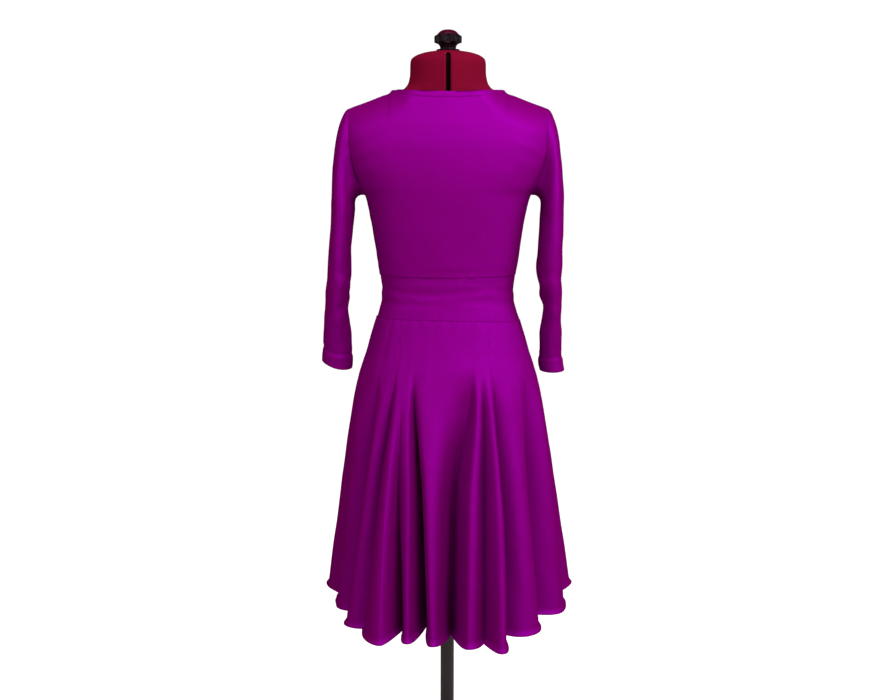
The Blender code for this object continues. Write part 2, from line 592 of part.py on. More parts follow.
def form_rings():
    """The dress form's level rings, with flat arm plates and a slot down the neck."""
    step = np.radians(np.array([0.0, 2.9, SLOT_HALF_ANGLE, 12, 22, 33, 44, 55, 66, 77]))
    quarter = np.concatenate([step, [math.pi / 2]])
    right = np.concatenate([quarter, math.pi - step[::-1]])
    angle = np.concatenate([right, 2 * math.pi - right[-2:0:-1]])
    slot = np.abs(np.sin(angle)) < math.sin(math.radians(3.2))
    rings = []
    for z, half_width, back, front, square, depth in FORM:
        x, y = oval(angle, half_width, back, front, square)
        if ARMPIT_HEIGHT < z < SHOULDER_TIP_HEIGHT:
            plate = float(follow(ARMHOLE, ARMHOLE_COLUMNS, "front", z)) - PLATE_INSET
            at_plate = math.asin(min(plate / half_width, 1.0))
            inside = np.abs(np.sin(angle)) <= math.sin(at_plate)
            reach = math.cos(at_plate) * (1 + square * math.sin(at_plate) ** 2)
            flat = -np.where(np.cos(angle) > 0, back, front) * reach
            flat = flat * np.cos(angle) / math.cos(at_plate)
            x = np.where(inside, x, np.sign(x) * plate)
            y = np.where(inside, y, flat)
        cut = np.minimum(SLOT_DEPTH * depth, 0.6 * np.abs(y))
        y = np.where(slot, y - np.sign(y) * cut, y)
        rings.append(np.stack([x, y, np.full_like(x, z)], axis=-1))
    return rings


def knob_rings():
    """The lobed knob's level rings."""
    angle = np.linspace(0, 2 * math.pi, 24, endpoint=False)
    lobe_wave = np.cos(KNOB_LOBES * angle)
    rings = []
    for height, radius, lobe in KNOB:
        r = radius + lobe * lobe_wave
        z = np.full_like(angle, FLANGE_BOTTOM + height)
        rings.append(np.stack([r * np.cos(angle), r * np.sin(angle), z], axis=-1))
    return rings


def turned_rings(profile, sides):
    """Level rings of a turned shape from (radius, height) pairs."""
    angle = np.linspace(0, 2 * math.pi, sides, endpoint=False)
    rings = []
    for radius, height in profile:
        z = np.full_like(angle, height)
        rings.append(np.stack([radius * np.cos(angle), radius * np.sin(angle), z], axis=-1))
    return rings


def add_dress():
    """The sewn pieces."""
    satin = material("purple_satin", PURPLE, 0.42)
    half = np.radians([0, 9, 18, 27, 34.42, 43, 52, 61, 70, 79, 90])
    across = np.concatenate([-half[:0:-1], half])
    up = np.concatenate([np.linspace(0, 0.40, 5), np.linspace(0.40, 1, 10)[1:]])
    cloth("bodice_back", bodice_surface("back"), across, up, satin, facing=-1.0)
    cloth("bodice_front", bodice_surface("front"), across, up, satin, turn=-1.0, facing=1.0)
    across = np.radians(np.linspace(-90, 90, 21))
    up = np.linspace(0, 1, 4)
    cloth("waistband_back", waistband_surface("back"), across, up, satin, facing=-1.0)
    cloth("waistband_front", waistband_surface("front"), across, up, satin, turn=-1.0, facing=1.0)
    turn = np.linspace(0, 2 * math.pi, 22, endpoint=False)
    down = np.array([0, 0.12, 0.28, 0.46, 0.64, 0.82, 1])
    down = np.concatenate([down, [1.13, 1.27, 1.42, 1.54, 1.66, 1.78, 1.88, 1.94, 2.0]])
    cloth("sleeve_right", sleeve_surface(1.0), turn, down, satin, around=True)
    cloth("sleeve_left", sleeve_surface(-1.0), turn, down, satin, around=True, turn=-1.0)
    rows = np.array(SKIRT_ROWS)
    for name, first, last, strips in GORES:
        at = np.linspace(first, last, (last - first) * strips + 1)
        cloth(name, gore_surface(first, last), at, rows, satin, turn=-1.0)


def add_form():
    """The dress form, its knob, pole and foot."""
    jersey = material("burgundy_jersey", BURGUNDY, 0.85)
    gloss = material("black_plastic", BLACK, 0.25)
    steel = material("black_steel", STEEL, 0.45, 0.0)
    stacked("form_body", form_rings(), jersey)
    stacked("knob", knob_rings(), gloss)
    pole_top = FORM_BOTTOM - STACK_GAP
    pole_foot = BASE_THICKNESS + STACK_GAP
    stacked("pole", turned_rings([(POLE_RADIUS, pole_foot), (POLE_RADIUS, pole_top)], 32), steel)
    edge = BASE_RADIUS - BASE_EDGE
    profile = [(edge, 0), (BASE_RADIUS, BASE_EDGE)]
    profile += [(BASE_RADIUS, BASE_THICKNESS - BASE_EDGE), (edge, BASE_THICKNESS)]
    stacked("base", turned_rings(profile, 64), steel)


clear_scene()
add_dress()
add_form()
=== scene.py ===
import math
import bmesh
import bpy
import numpy as np
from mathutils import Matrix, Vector


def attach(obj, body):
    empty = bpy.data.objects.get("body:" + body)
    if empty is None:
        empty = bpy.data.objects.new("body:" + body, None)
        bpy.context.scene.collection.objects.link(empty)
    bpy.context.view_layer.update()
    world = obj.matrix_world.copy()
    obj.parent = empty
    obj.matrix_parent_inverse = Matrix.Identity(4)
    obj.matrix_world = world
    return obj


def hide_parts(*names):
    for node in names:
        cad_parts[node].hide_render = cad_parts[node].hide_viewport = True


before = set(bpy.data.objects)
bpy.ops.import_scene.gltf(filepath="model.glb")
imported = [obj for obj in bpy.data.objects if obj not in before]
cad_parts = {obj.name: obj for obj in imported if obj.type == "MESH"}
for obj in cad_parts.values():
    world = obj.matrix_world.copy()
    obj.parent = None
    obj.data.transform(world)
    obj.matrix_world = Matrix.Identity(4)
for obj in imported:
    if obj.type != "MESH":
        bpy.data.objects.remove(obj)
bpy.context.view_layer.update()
print("frame loaded:", len(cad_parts), "nodes")


# Measuring and drawing helpers

def follow(table, column, at):
    # value of a column at the places in at, joined by cubic pieces whose slope is the
    # harmonic mean of the slopes on either side, so nothing overshoots
    place = np.array(table["at"], float)
    value = np.array(table[column], float)
    step = np.diff(place)
    slope = np.diff(value) / step
    bend = np.concatenate([slope[:1], np.zeros(len(value) - 2), slope[-1:]])
    same = slope[:-1] * slope[1:] > 0
    both = np.where(same, slope[:-1] + slope[1:], 1.0)
    bend[1:-1] = np.where(same, 2 * slope[:-1] * slope[1:] / both, 0.0)
    at = np.clip(np.asarray(at, float), place[0], place[-1])
    k = np.clip(np.searchsorted(place, at) - 1, 0, len(step) - 1)
    t = (at - place[k]) / step[k]
    first = (1 + 2 * t) * (1 - t) ** 2 * value[k] + t * (1 - t) ** 2 * step[k] * bend[k]
    second = t * t * (3 - 2 * t) * value[k + 1] - t * t * (1 - t) * step[k] * bend[k + 1]
    return first + second


def columns(names, rows):
    # a table written row by row, turned into named columns
    return dict(zip(names.split(), zip(*rows)))


def softNoise(x, y, seed):
    # smooth noise from -1 to 1: random values on a square lattice, blended by smoothstep
    lattice = np.random.default_rng(seed).uniform(-1, 1, (64, 64))
    i, j = np.floor(x).astype(int), np.floor(y).astype(int)
    s, t = x - i, y - j
    s, t = s * s * (3 - 2 * s), t * t * (3 - 2 * t)
    a, b = lattice[i % 64, j % 64], lattice[(i + 1) % 64, j % 64]
    c, d = lattice[i % 64, (j + 1) % 64], lattice[(i + 1) % 64, (j + 1) % 64]
    return (a + (b - a) * s) * (1 - t) + (c + (d - c) * s) * t


def bell(x, width):
    return np.exp(-(x / width) ** 2)


def gridNormals(points, around, turn):
    # unit cross product of the steps across and down, pointing out of the body
    if around:
        across = np.roll(points, -1, axis=1) - np.roll(points, 1, axis=1)
    else:
        across = np.gradient(points, axis=1)
    down = np.gradient(points, axis=0)
    normal = np.cross(across, down) * turn
    return normal / np.maximum(np.linalg.norm(normal, axis=-1, keepdims=True), 1e-12)


def distances(points, side):
    # length along the grid from one of its four edges
    axis = 1 if side in ("left", "right") else 0
    legs = np.linalg.norm(np.diff(points, axis=axis), axis=-1)
    zero = np.zeros_like(np.take(legs, [0], axis=axis))
    if side in ("left", "top"):
        return np.concatenate([zero, np.cumsum(legs, axis=axis)], axis=axis)
    back = np.flip(np.cumsum(np.flip(legs, axis), axis=axis), axis)
    return np.concatenate([back, zero], axis=axis)


def putMesh(name, points, faces, look, uv=None):
    # one mesh object from whole arrays, quads or triangles, shaded smooth
    mesh = bpy.data.meshes.new(name)
    corners = faces.shape[1]
    mesh.vertices.add(len(points))
    mesh.vertices.foreach_set("co", points.astype(np.float32).ravel())
    mesh.loops.add(faces.size)
    mesh.loops.foreach_set("vertex_index", faces.astype(np.int32).ravel())
    mesh.polygons.add(len(faces))
    mesh.polygons.foreach_set("loop_start", np.arange(0, faces.size, corners, dtype=np.int32))
    mesh.polygons.foreach_set("use_smooth", np.ones(len(faces), bool))
    if uv is not None:
        layer = mesh.uv_layers.new(name="cut")
        layer.data.foreach_set("uv", uv[faces.ravel()].astype(np.float32).ravel())
    mesh.materials.append(look)
    mesh.update(calc_edges=True)
    mesh.validate()
    piece = bpy.data.objects.new(name, mesh)
    bpy.context.scene.collection.objects.link(piece)
    return piece


def gridFaces(rows, cols, aroundCols=False, aroundRows=False):
    # quads of a rows by cols grid of points, in the order across then down
    r = np.arange(rows if aroundRows else rows - 1)
    c = np.arange(cols if aroundCols else cols - 1)
    r, c = np.meshgrid(r, c, indexing="ij")
    a = r * cols + c
    b = r * cols + (c + 1) % cols
    e = ((r + 1) % rows) * cols + (c + 1) % cols
    f = ((r + 1) % rows) * cols + c
    return np.stack([a, b, e, f], axis=-1).reshape(-1, 4)


def keepSide(points, facing, least=0.0002):
    # y stays at least that far out on its own side of the body's middle
    points[..., 1] = facing * np.maximum(facing * points[..., 1], least)


def clothShell(name, node, outer, around=False, turn=1.0, halfSide=0.0):
    # the outer face, the same face moved in by the cloth's thickness, and rounded edges
    # at the top and bottom: each edge has a middle row pushed out by nearly half the thickness;
    # halfSide, where it is given, keeps the inner face on its own side of the body's middle
    thickness = body["cloth"]
    inner = outer - thickness * gridNormals(outer, around, turn)
    if halfSide:
        keepSide(inner, halfSide)
    rows, cols = outer.shape[:2]

    def rim(row, beside):
        away = outer[row] - outer[beside]
        away = away / np.maximum(np.linalg.norm(away, axis=-1, keepdims=True), 1e-12)
        middle = (outer[row] + inner[row]) / 2 + away * thickness * 0.45
        if halfSide:
            keepSide(middle, halfSide)
        return middle[None]

    loop = np.concatenate([outer, rim(-1, -2), inner[::-1], rim(0, 1)])
    faces = [gridFaces(len(loop), cols, around, True)]
    corners = []
    if not around:
        r = np.arange(rows - 1)
        mirror = len(loop) - 2 - np.arange(rows)  # the inner row behind each outer row
        for col in (0, cols - 1):
            strip = [r * cols, (r + 1) * cols, mirror[r + 1] * cols, mirror[r] * cols]
            faces.append(np.stack(strip, axis=1) + col)
            for row, middle in ((rows - 1, rows), (0, len(loop) - 1)):
                corners.append([row * cols + col, middle * cols + col, mirror[row] * cols + col])
    if around:
        along = np.cumsum(np.linalg.norm(outer - np.roll(outer, 1, axis=1), axis=-1), axis=1)
    else:
        along = distances(outer, "left")
    flat = np.stack([along, -distances(outer, "top")], axis=-1)
    flatLoop = np.concatenate([flat, flat[-1:], flat[::-1], flat[:1]])
    piece = putMesh(name, loop.reshape(-1, 3), np.concatenate(faces), satinKnit, flatLoop.reshape(-1, 2))
    closeEnds(piece, corners)
    place(piece, node, "purple_satin")
    return piece


def closeEnds(piece, corners):
    # the small triangles at the four corners of an open cloth, and all faces turned outward
    work = bmesh.new()
    work.from_mesh(piece.data)
    work.verts.ensure_lookup_table()
    for corner in corners:
        work.faces.new([work.verts[i] for i in corner]).smooth = True
    bmesh.ops.recalc_face_normals(work, faces=work.faces)
    work.to_mesh(piece.data)
    work.free()


def sewnEdges(points, around, turn, *edges):
    # each edge is a side of the grid, a seam and a seed; the seam draws the cloth in: dip falls off
    # over reach, and small puckers run along it, strongest at the seam and gone about four reaches away
    for side, seam, seed in edges:
        dip, reach, pucker, spacing = seams[seam]
        normal = gridNormals(points, around, turn)
        away = distances(points, side)
        run = distances(points, "top" if side in ("left", "right") else "left")
        puckers = softNoise(run / spacing, away / (6 * reach), seed) + 0.6 * softNoise(
            run / (0.45 * spacing), away / (3 * reach), seed + 1)
        push = -dip * bell(away, reach) + pucker * puckers * np.exp(-away / (4 * reach))
        points = points + normal * push[..., None]
    return points


seams = {                         # dip, reach, pucker and the puckers' spacing
    "armhole": (0.0004, 0.0045, 0.0004, 0.011),
    "bodiceWaist": (-0.0003, 0.0040, 0.0004, 0.012),
    "bandSide": (0.0008, 0.003, 0.0003, 0.010),
    "bandLow": (0.0004, 0.005, 0.0005, 0.009),
    "bandHigh": (0.0003, 0.006, 0.0004, 0.009),
    "sleeveTop": (0.0003, 0.0045, 0.0006, 0.012),
    "gore": (0.0005, 0.0030, 0.0005, 0.014),
    "skirtTop": (0.0003, 0.0040, 0.0006, 0.009),
}


def place(piece, node, slotName):
    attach(piece, "root")
    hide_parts(node)


# Materials

class Socket:
    # a value in a node tree that can be used in ordinary arithmetic
    def __init__(self, tree, link):
        self.tree, self.link = tree, link

    def maths(self, operation, *values):
        return self.tree.add("ShaderNodeMath", {"operation": operation}, values)

    def __add__(self, other):
        return self.maths("ADD", self, other)

    def __radd__(self, other):
        return self.maths("ADD", other, self)

    def __sub__(self, other):
        return self.maths("SUBTRACT", self, other)

    def __rsub__(self, other):
        return self.maths("SUBTRACT", other, self)

    def __mul__(self, other):
        return self.maths("MULTIPLY", self, other)

    def clamped(self):
        return self.tree.add("ShaderNodeClamp", {}, (self, 0.0, 1.0))


class Look:
    # one material's node tree: add() makes any node, give() sets the shader's sockets by name, and
    # spot is the place on the object
    def __init__(self, name):
        self.material = bpy.data.materials.new(name)
        self.material.use_nodes = True
        self.nodes = self.material.node_tree.nodes
        self.links = self.material.node_tree.links
        self.shader = self.nodes["Principled BSDF"]
        self.spot = self.add("ShaderNodeTexCoord", {}, output=3)

    def add(self, kind, settings, values=(), output=0):
        node = self.nodes.new(kind)
        for key, value in settings.items():
            setattr(node, key, value)
        pairs = values.items() if isinstance(values, dict) else enumerate(values)
        for key, value in pairs:
            self.fill(node.inputs[key], value)
        return Socket(self, node.outputs[output])

    def fill(self, socket, value):
        if isinstance(value, Socket):
            self.links.new(value.link, socket)
        else:
            socket.default_value = value

    def give(self, **values):
        for key, value in values.items():
            self.fill(self.shader.inputs[key.replace("_", " ")], value)
        return self.material

    def noise(self, scale, detail=2.0, roughness=0.5, vector=None):
        values = {"Vector": vector or self.spot, "Scale": scale, "Detail": detail, "Roughness": roughness}
        return self.add("ShaderNodeTexNoise", {}, values)

    def bands(self, vector, axis, scale, distortion):
        settings = {"wave_type": "BANDS", "bands_direction": axis, "wave_profile": "SIN"}
        values = {"Vector": vector, "Scale": scale, "Distortion": distortion, "Detail": 1.0}
        return self.add("ShaderNodeTexWave", settings, values, output=1)

    def bump(self, height, strength, distance):
        return self.add("ShaderNodeBump", {}, {"Strength": strength, "Distance": distance, "Height": height})

    def blend(self, share, first, second):
        return self.add("ShaderNodeMix", {"data_type": "RGBA"}, {0: share, 6: first, 7: second}, output=2)


satin = {
    "dye": (0.205, 0.0003, 0.036, 1),      # the reddish purple that the threads' depth shows
    "dyeWorn": (0.230, 0.0004, 0.044, 1),  # a little paler where the knit is stretched
    "gloss": (0.385, 0.0006, 0.600, 1),    # the violet that the threads' bright sides give back
    "glossEdge": (0.30, 0.0, 0.22, 1),
    "roughness": 0.68,
    "glossShare": 0.50,
    "knit": 0.0011,                        # width of one knitted rib
}


def satinLook():
    # a matt shader for the dye and a metallic one for the satin's bright side, about half of each
    look = Look("satinKnit")
    cut = look.add("ShaderNodeUVMap", {"uv_map": "cut"})
    broad = look.noise(7.0, 3.0)
    fine = look.noise(900.0, 2.0, 0.6, cut)
    # the wave texture repeats every pi / 10 at a scale of 1
    ribScale = 0.314 / satin["knit"]
    ribs = look.bands(cut, "X", ribScale, 0.6)
    rows = look.bands(cut, "Y", ribScale * 1.3, 0.9)
    knit = ribs * 0.6 + rows * 0.4
    relief = look.bump(knit + fine * 0.5, 0.10, 0.0004)
    look.give(Base_Color=look.blend(broad * 0.8 + fine * 0.2, satin["dye"], satin["dyeWorn"]),
              Roughness=0.75 + fine * 0.1, Normal=relief, Specular_IOR_Level=0.0)
    gloss = look.nodes.new("ShaderNodeBsdfPrincipled")
    dyed, look.shader = look.shader, gloss
    look.give(Base_Color=satin["gloss"], Specular_Tint=satin["glossEdge"], Metallic=1.0,
              Roughness=satin["roughness"] - 0.04 + broad * 0.08 + (1 - knit) * 0.03, Normal=relief)
    share = (satin["glossShare"] - 0.03 + broad * 0.04 + knit * 0.02).clamped()
    mix = look.nodes.new("ShaderNodeMixShader")
    look.links.new(share.link, mix.inputs[0])
    look.links.new(dyed.outputs[0], mix.inputs[1])
    look.links.new(gloss.outputs[0], mix.inputs[2])
    look.links.new(mix.outputs[0], look.nodes["Material Output"].inputs["Surface"])
    return look.material


jersey = {
    "deep": (0.160, 0.0008, 0.017, 1),
    "light": (0.215, 0.0012, 0.027, 1),
}


def jerseyLook():
    look = Look("jerseyCover")
    broad = look.noise(22.0, 4.0)
    grain = look.noise(700.0, 3.0, 0.65)
    colour = look.blend((broad * 0.7 + grain * 0.3).clamped(), jersey["deep"], jersey["light"])
    return look.give(
        Base_Color=colour, Roughness=0.80 + grain * 0.12,
        Normal=look.bump(grain, 0.22, 0.0006), Specular_IOR_Level=0.06,
        Sheen_Weight=0.08, Sheen_Roughness=0.5, Sheen_Tint=(0.60, 0.01, 0.12, 1))


def darkLook():
    look = Look("slotShade")
    grain = look.noise(300.0)
    return look.give(
        Base_Color=look.blend(grain, (0.004, 0.001, 0.002, 1), (0.008, 0.001, 0.003, 1)),
        Roughness=0.9, Specular_IOR_Level=0.1)


plastic = {
    "paintedReflectionStart": 1.4895,          # height above which a burgundy painted reflection covers the black knob's top
    # how quickly the painted reflection comes in above that height
    "paintedReflectionSharpness": 400.0,
}


def plasticLook():
    look = Look("glossPlastic")
    grain = look.noise(120.0, 3.0)
    height = look.add("ShaderNodeSeparateXYZ", {}, (look.spot,), output=2)
    # the knob's plastic is near black; the burgundy blended in over its top by height is a painted
    # reflection, not the plastic's colour
    paintedReflectionShare = ((height - plastic["paintedReflectionStart"]) * plastic["paintedReflectionSharpness"]).clamped()
    black = look.blend(grain, (0.007, 0.003, 0.006, 1), (0.011, 0.005, 0.010, 1))
    burgundy = look.blend(grain, (0.052, 0.0012, 0.016, 1), (0.070, 0.0016, 0.023, 1))
    return look.give(
        Base_Color=look.blend(paintedReflectionShare, black, burgundy), Roughness=0.22 + grain * 0.08,
        Normal=look.bump(grain, 0.04, 0.0004), Specular_IOR_Level=0.08)


def steelLook():
    look = Look("paintedSteel")
    grain = look.noise(420.0, 3.0)
    broad = look.noise(9.0)
    return look.give(
        Base_Color=look.blend(broad, (0.022, 0.022, 0.024, 1), (0.034, 0.034, 0.037, 1)),
        Roughness=0.36 + grain * 0.14, Normal=look.bump(grain, 0.12, 0.0003))


satinKnit = satinLook()
jerseyCover = jerseyLook()
slotShade = darkLook()
glossPlastic = plasticLook()
paintedSteel = steelLook()
print("materials made")


# The body of the dress: level cuts, shoulders and armholes, in metres

body = {
    "seamGap": 0.0001,
    "armpit": 1.197,
    "shoulderTip": 1.357,
    "neckPointX": 0.104,
    "neckPoint": 1.3895,
    "shoulderRounding": 0.060,
    "bust": (0.084, 1.205, 0.013),  # its x, height and depth
    "topSeam": 1.0490,
    "topSeamRise": -0.0010,
    "lowSeam": (0.9686, -0.0030, -0.0040),  # height at the centre, slope and sag
    "waistHalf": 0.138,
    "cloth": 0.0012,
}

torso = columns("at halfWidth back front square", (
    (0.920, 0.1500, 0.1010, 0.1140, 0.16),
    (0.940, 0.1445, 0.0965, 0.1110, 0.17),
    (0.960, 0.1385, 0.0925, 0.1080, 0.18),
    (0.980, 0.1315, 0.0880, 0.1050, 0.20),
    (1.000, 0.1265, 0.0845, 0.1025, 0.20),
    (1.020, 0.1255, 0.0825, 0.1015, 0.20),
    (1.048, 0.1290, 0.0825, 0.1020, 0.20),
    (1.075, 0.1335, 0.0845, 0.1045, 0.21),
    (1.110, 0.1385, 0.0880, 0.1090, 0.22),
    (1.150, 0.1450, 0.0925, 0.1135, 0.24),
    (1.197, 0.1560, 0.0972, 0.1167, 0.285),
    (1.215, 0.1690, 0.0985, 0.1170, 0.30),
    (1.245, 0.1850, 0.0995, 0.1150, 0.31),
    (1.280, 0.1975, 0.0985, 0.1100, 0.31),
    (1.320, 0.2040, 0.0930, 0.1010, 0.30),
    (1.350, 0.2070, 0.0850, 0.0910, 0.28),
    (1.390, 0.2080, 0.0740, 0.0780, 0.26),
))

shoulders = columns("at height", (
    (0.000, 1.4700), (0.040, 1.4500), (0.060, 1.4300), (0.075, 1.4130), (0.088, 1.3995),
    (0.097, 1.3930), (0.104, 1.3895), (0.109, 1.3842), (0.122, 1.3798), (0.150, 1.3690),
    (0.184, 1.3570), (0.210, 1.3470),
))

armholes = columns("at back front", (
    (1.197, 0.1560, 0.1560),
    (1.210, 0.1610, 0.1575),
    (1.245, 0.1745, 0.1630),
    (1.280, 0.1805, 0.1700),
    (1.325, 0.1832, 0.1785),
    (1.345, 0.1839, 0.1825),
    (1.357, 0.1840, 0.1840),
))


def bodyDepth(x, z, side):
    # half an oval's depth at x, its corners filled out, a soft bust in front, and the whole
    # rounded off to nothing over the last 60 mm below the shoulder line
    width = follow(torso, "halfWidth", z)
    share = np.clip(np.abs(x) / width, 0, 1)
    oval = np.sqrt(1 - share ** 2)
    face = follow(torso, side, z) * oval * (1 + follow(torso, "square", z) * share ** 2)
    if side == "front":
        bustX, bustZ, bustDepth = body["bust"]
        face = face + bustDepth * bell(np.abs(x) - bustX, 0.050) * bell(z - bustZ, 0.055) * oval
    below = follow(shoulders, "height", np.abs(x)) - z
    near = np.clip(1 - below / body["shoulderRounding"], 0, 1)
    return face * np.sqrt(np.clip(1 - near ** 2, 0, 1))


def topSeam(x):
    return body["topSeam"] + body["topSeamRise"] * (1 - (x / body["waistHalf"]) ** 2)


def lowSeam(x):
    height, slope, sag = body["lowSeam"]
    share = x / body["waistHalf"]
    return height + slope * share + sag * share ** 2


def levelCut(cuts, angle, z):
    # an oval as wide and as deep as the table says at each height, with its corners filled out
    half, square = follow(cuts, "halfWidth", z), follow(cuts, "square", z)
    reach = np.where(np.cos(angle) > 0, follow(cuts, "back", z), follow(cuts, "front", z))
    y = -reach * np.cos(angle) * (1 + square * np.sin(angle) ** 2)
    return half, reach, half * np.sin(angle), y


# Bodice

bodice = {
    "back": {"dip": 0.006, "facing": -1.0, "flat": (0.415, 0.395), "area": 0.138},
    "front": {"dip": 0.046, "facing": 1.0, "flat": (0.46, 0.405), "area": 0.136},
    "neckHem": {"depth": 0.0105, "soft": 0.0012, "step": 0.0007, "draw": 0.0005, "drawWidth": 0.0015},
    "grid": (150, 130),           # points across and up
    "armpitShare": 0.40,
    "dragFrom": 0.172,
    "dragLines": (                # folds pulled from the armhole: height, slope, depth, width
        (1.268, 0.42, 0.0005, 0.0100),
        (1.243, 0.30, 0.0004, 0.0100),
        (1.218, -0.30, 0.0006, 0.0110),
    ),
    "waistRolls": ((1.066, 0.0006, 0.008), (1.094, 0.0004, 0.012), (1.126, 0.0003, 0.015)),
}


def bodiceGrid(side):
    # angle runs from side to side and up from the waist seam to the neckline and shoulders;
    # x is the panel's half width times the sine of the angle, and y is the body's depth there
    facing, dip = bodice[side]["facing"], bodice[side]["dip"]
    cols, rows = bodice["grid"]
    neckAngle = math.asin(body["neckPointX"] / armholes["back"][-1])
    half = np.concatenate([np.linspace(0, neckAngle, int(cols * 0.2), endpoint=False),
                           np.linspace(neckAngle, math.pi / 2, cols // 2 - int(cols * 0.2))])
    angle, up = np.meshgrid(np.concatenate([-half[:0:-1], half]), np.linspace(0, 1, rows))
    share = bodice["armpitShare"]
    straight = body["topSeam"] + body["seamGap"] / 2
    low = straight + (body["armpit"] - straight) * np.clip(up / share, 0, 1)
    turn = np.clip((up - share) / (1 - share), 0, 1) * math.pi / 2
    rise = body["shoulderTip"] - body["armpit"]
    edge = low + rise * np.sin(turn)
    above, below = follow(armholes, side, edge), follow(torso, "halfWidth", edge)
    halfWidth = np.where(edge > body["armpit"], above, below)
    x = halfWidth * np.sin(angle)
    scoop = np.clip(1 - (np.abs(x) / body["neckPointX"]) ** 2, 0, 1)
    neck = body["neckPoint"] - dip * np.sqrt(scoop) * (0.35 + 0.65 * scoop)
    top = np.where(np.abs(x) < body["neckPointX"], neck, follow(shoulders, "height", np.abs(x)))
    risen = np.clip((edge - body["armpit"]) / rise, 0, 1)
    z = edge + risen ** 2 * (top - body["shoulderTip"])
    z = z + (topSeam(x) - body["topSeam"]) * np.clip(1 - up / share, 0, 1)
    y = facing * (bodyDepth(x, z, side) + body["seamGap"] / 2)
    return np.stack([x, y, z], axis=-1), up


def bodiceFolds(points, up, side):
    # soft drag lines from each armhole, low rolls above the waist seam, and a faint unevenness
    x, z = points[..., 0], points[..., 2]
    normal = gridNormals(points, False, -bodice[side]["facing"])
    push = np.zeros_like(x)
    for hand in (-1, 1):
        inward = bodice["dragFrom"] - hand * x  # distance in from the armhole
        for k, (height, slope, depth, width) in enumerate(bodice["dragLines"]):
            line = z - height - slope * inward - 0.004 * hand
            fade = np.clip(inward / 0.012, 0, 1) * np.exp(-(inward / 0.055) ** 2)
            push += (depth * (1.15 - 0.25 * k * hand)) * bell(line, width) * fade
            push -= 0.7 * depth * bell(line - 1.6 * width, width * 0.9) * fade
    for k, (height, depth, width) in enumerate(bodice["waistRolls"]):
        sway = 0.006 * np.sin(9 * x + 1.7 * k) + 0.004 * softNoise(x * 22, z * 0 + k, 31 + k)
        strength = 0.55 + 0.45 * softNoise(x * 14, z * 0 + 3 * k, 41 + k)
        push += depth * strength * bell(z - height - sway, width)
    push += 0.0007 * softNoise(x * 20, z * 14, 51) + 0.0004 * softNoise(x * 45, z * 30, 52)
    calm = np.clip((1 - up) / 0.06, 0, 1)
    return points + normal * (push * calm)[..., None]


def makeBodice(side):
    values = bodice[side]
    turn = -values["facing"]
    points, up = bodiceGrid(side)
    points = bodiceFolds(points, up, side)
    points = sewnEdges(points, False, turn, ("left", "armhole", 61), ("right", "armhole", 62),
                       ("top", "bodiceWaist", 63))
    # the neckline's turned hem: 10 mm of double cloth with a shallow step under it
    hem = bodice["neckHem"]
    away = distances(points, "bottom")
    inNeck = np.clip((body["neckPointX"] + 0.004 - np.abs(points[..., 0])) / 0.006, 0, 1)
    step = np.clip((hem["depth"] - away) / hem["soft"], 0, 1) * hem["step"]
    step = step - hem["draw"] * bell(away - hem["depth"] - 0.001, hem["drawWidth"])
    points = points + gridNormals(points, False, turn) * (step * inNeck)[..., None]
    keepSide(points, values["facing"], body["seamGap"] / 2)
    piece = clothShell("bodice" + side.title(), "bodice_" + side, points,
                       turn=turn, halfSide=values["facing"])


makeBodice("back")
makeBodice("front")
print("bodice made")


# Waistband

waistband = {
    "inset": 0.0004,
    "grid": (150, 36),
    "flat": (0.38, 0.085),
    "area": 0.030,
    "creases": (                  # height, depth, width, sway, share of it that shows
        (1.010, 0.0008, 0.0070, 0.004, 0.9),
        (0.990, 0.0004, 0.0070, 0.005, 0.6),
        (1.030, 0.0004, 0.0060, 0.003, 0.7),
    ),
}


def makeWaistband(side):
    # the body's level cut set in a little between its two seams, with shallow level creases
    facing = bodice[side]["facing"]
    turn = -facing
    cols, rows = waistband["grid"]
    angle, up = np.meshgrid(np.linspace(-math.pi / 2, math.pi / 2, cols), np.linspace(0, 1, rows))
    x = body["waistHalf"] * np.sin(angle)
    low = lowSeam(x) + body["seamGap"] / 2
    z = low + (topSeam(x) - body["seamGap"] / 2 - low) * up
    half = follow(torso, "halfWidth", z) - waistband["inset"]
    depth = follow(torso, side, z) - waistband["inset"]
    x = half * np.sin(angle)
    y = depth * np.cos(angle) * (1 + follow(torso, "square", z) * np.sin(angle) ** 2) + body["seamGap"] / 2
    points = np.stack([x, facing * y, z], axis=-1)
    push = np.zeros_like(x)
    for k, (height, deep, width, sway, shown) in enumerate(waistband["creases"]):
        line = z - height - sway * np.sin(3.1 * angle + 1.3 * k)
        line = line - 0.003 * softNoise(angle * 5, up * 0, 71 + k)
        strength = np.clip(shown + 0.6 * softNoise(angle * 3, up * 0 + k, 75), 0, 1)
        push += deep * strength * (bell(line, width) - 0.8 * bell(line - 1.5 * width, width))
    points = points + gridNormals(points, False, turn) * push[..., None]
    points = sewnEdges(points, False, turn, ("left", "bandSide", 81), ("right", "bandSide", 82),
                       ("top", "bandLow", 83), ("bottom", "bandHigh", 84))
    keepSide(points, facing, body["seamGap"] / 2)
    piece = clothShell("waistband" + side.title(), "waistband_" + side, points,
                       turn=turn, halfSide=facing)


makeWaistband("back")
makeWaistband("front")
print("waistband made")


# Sleeves

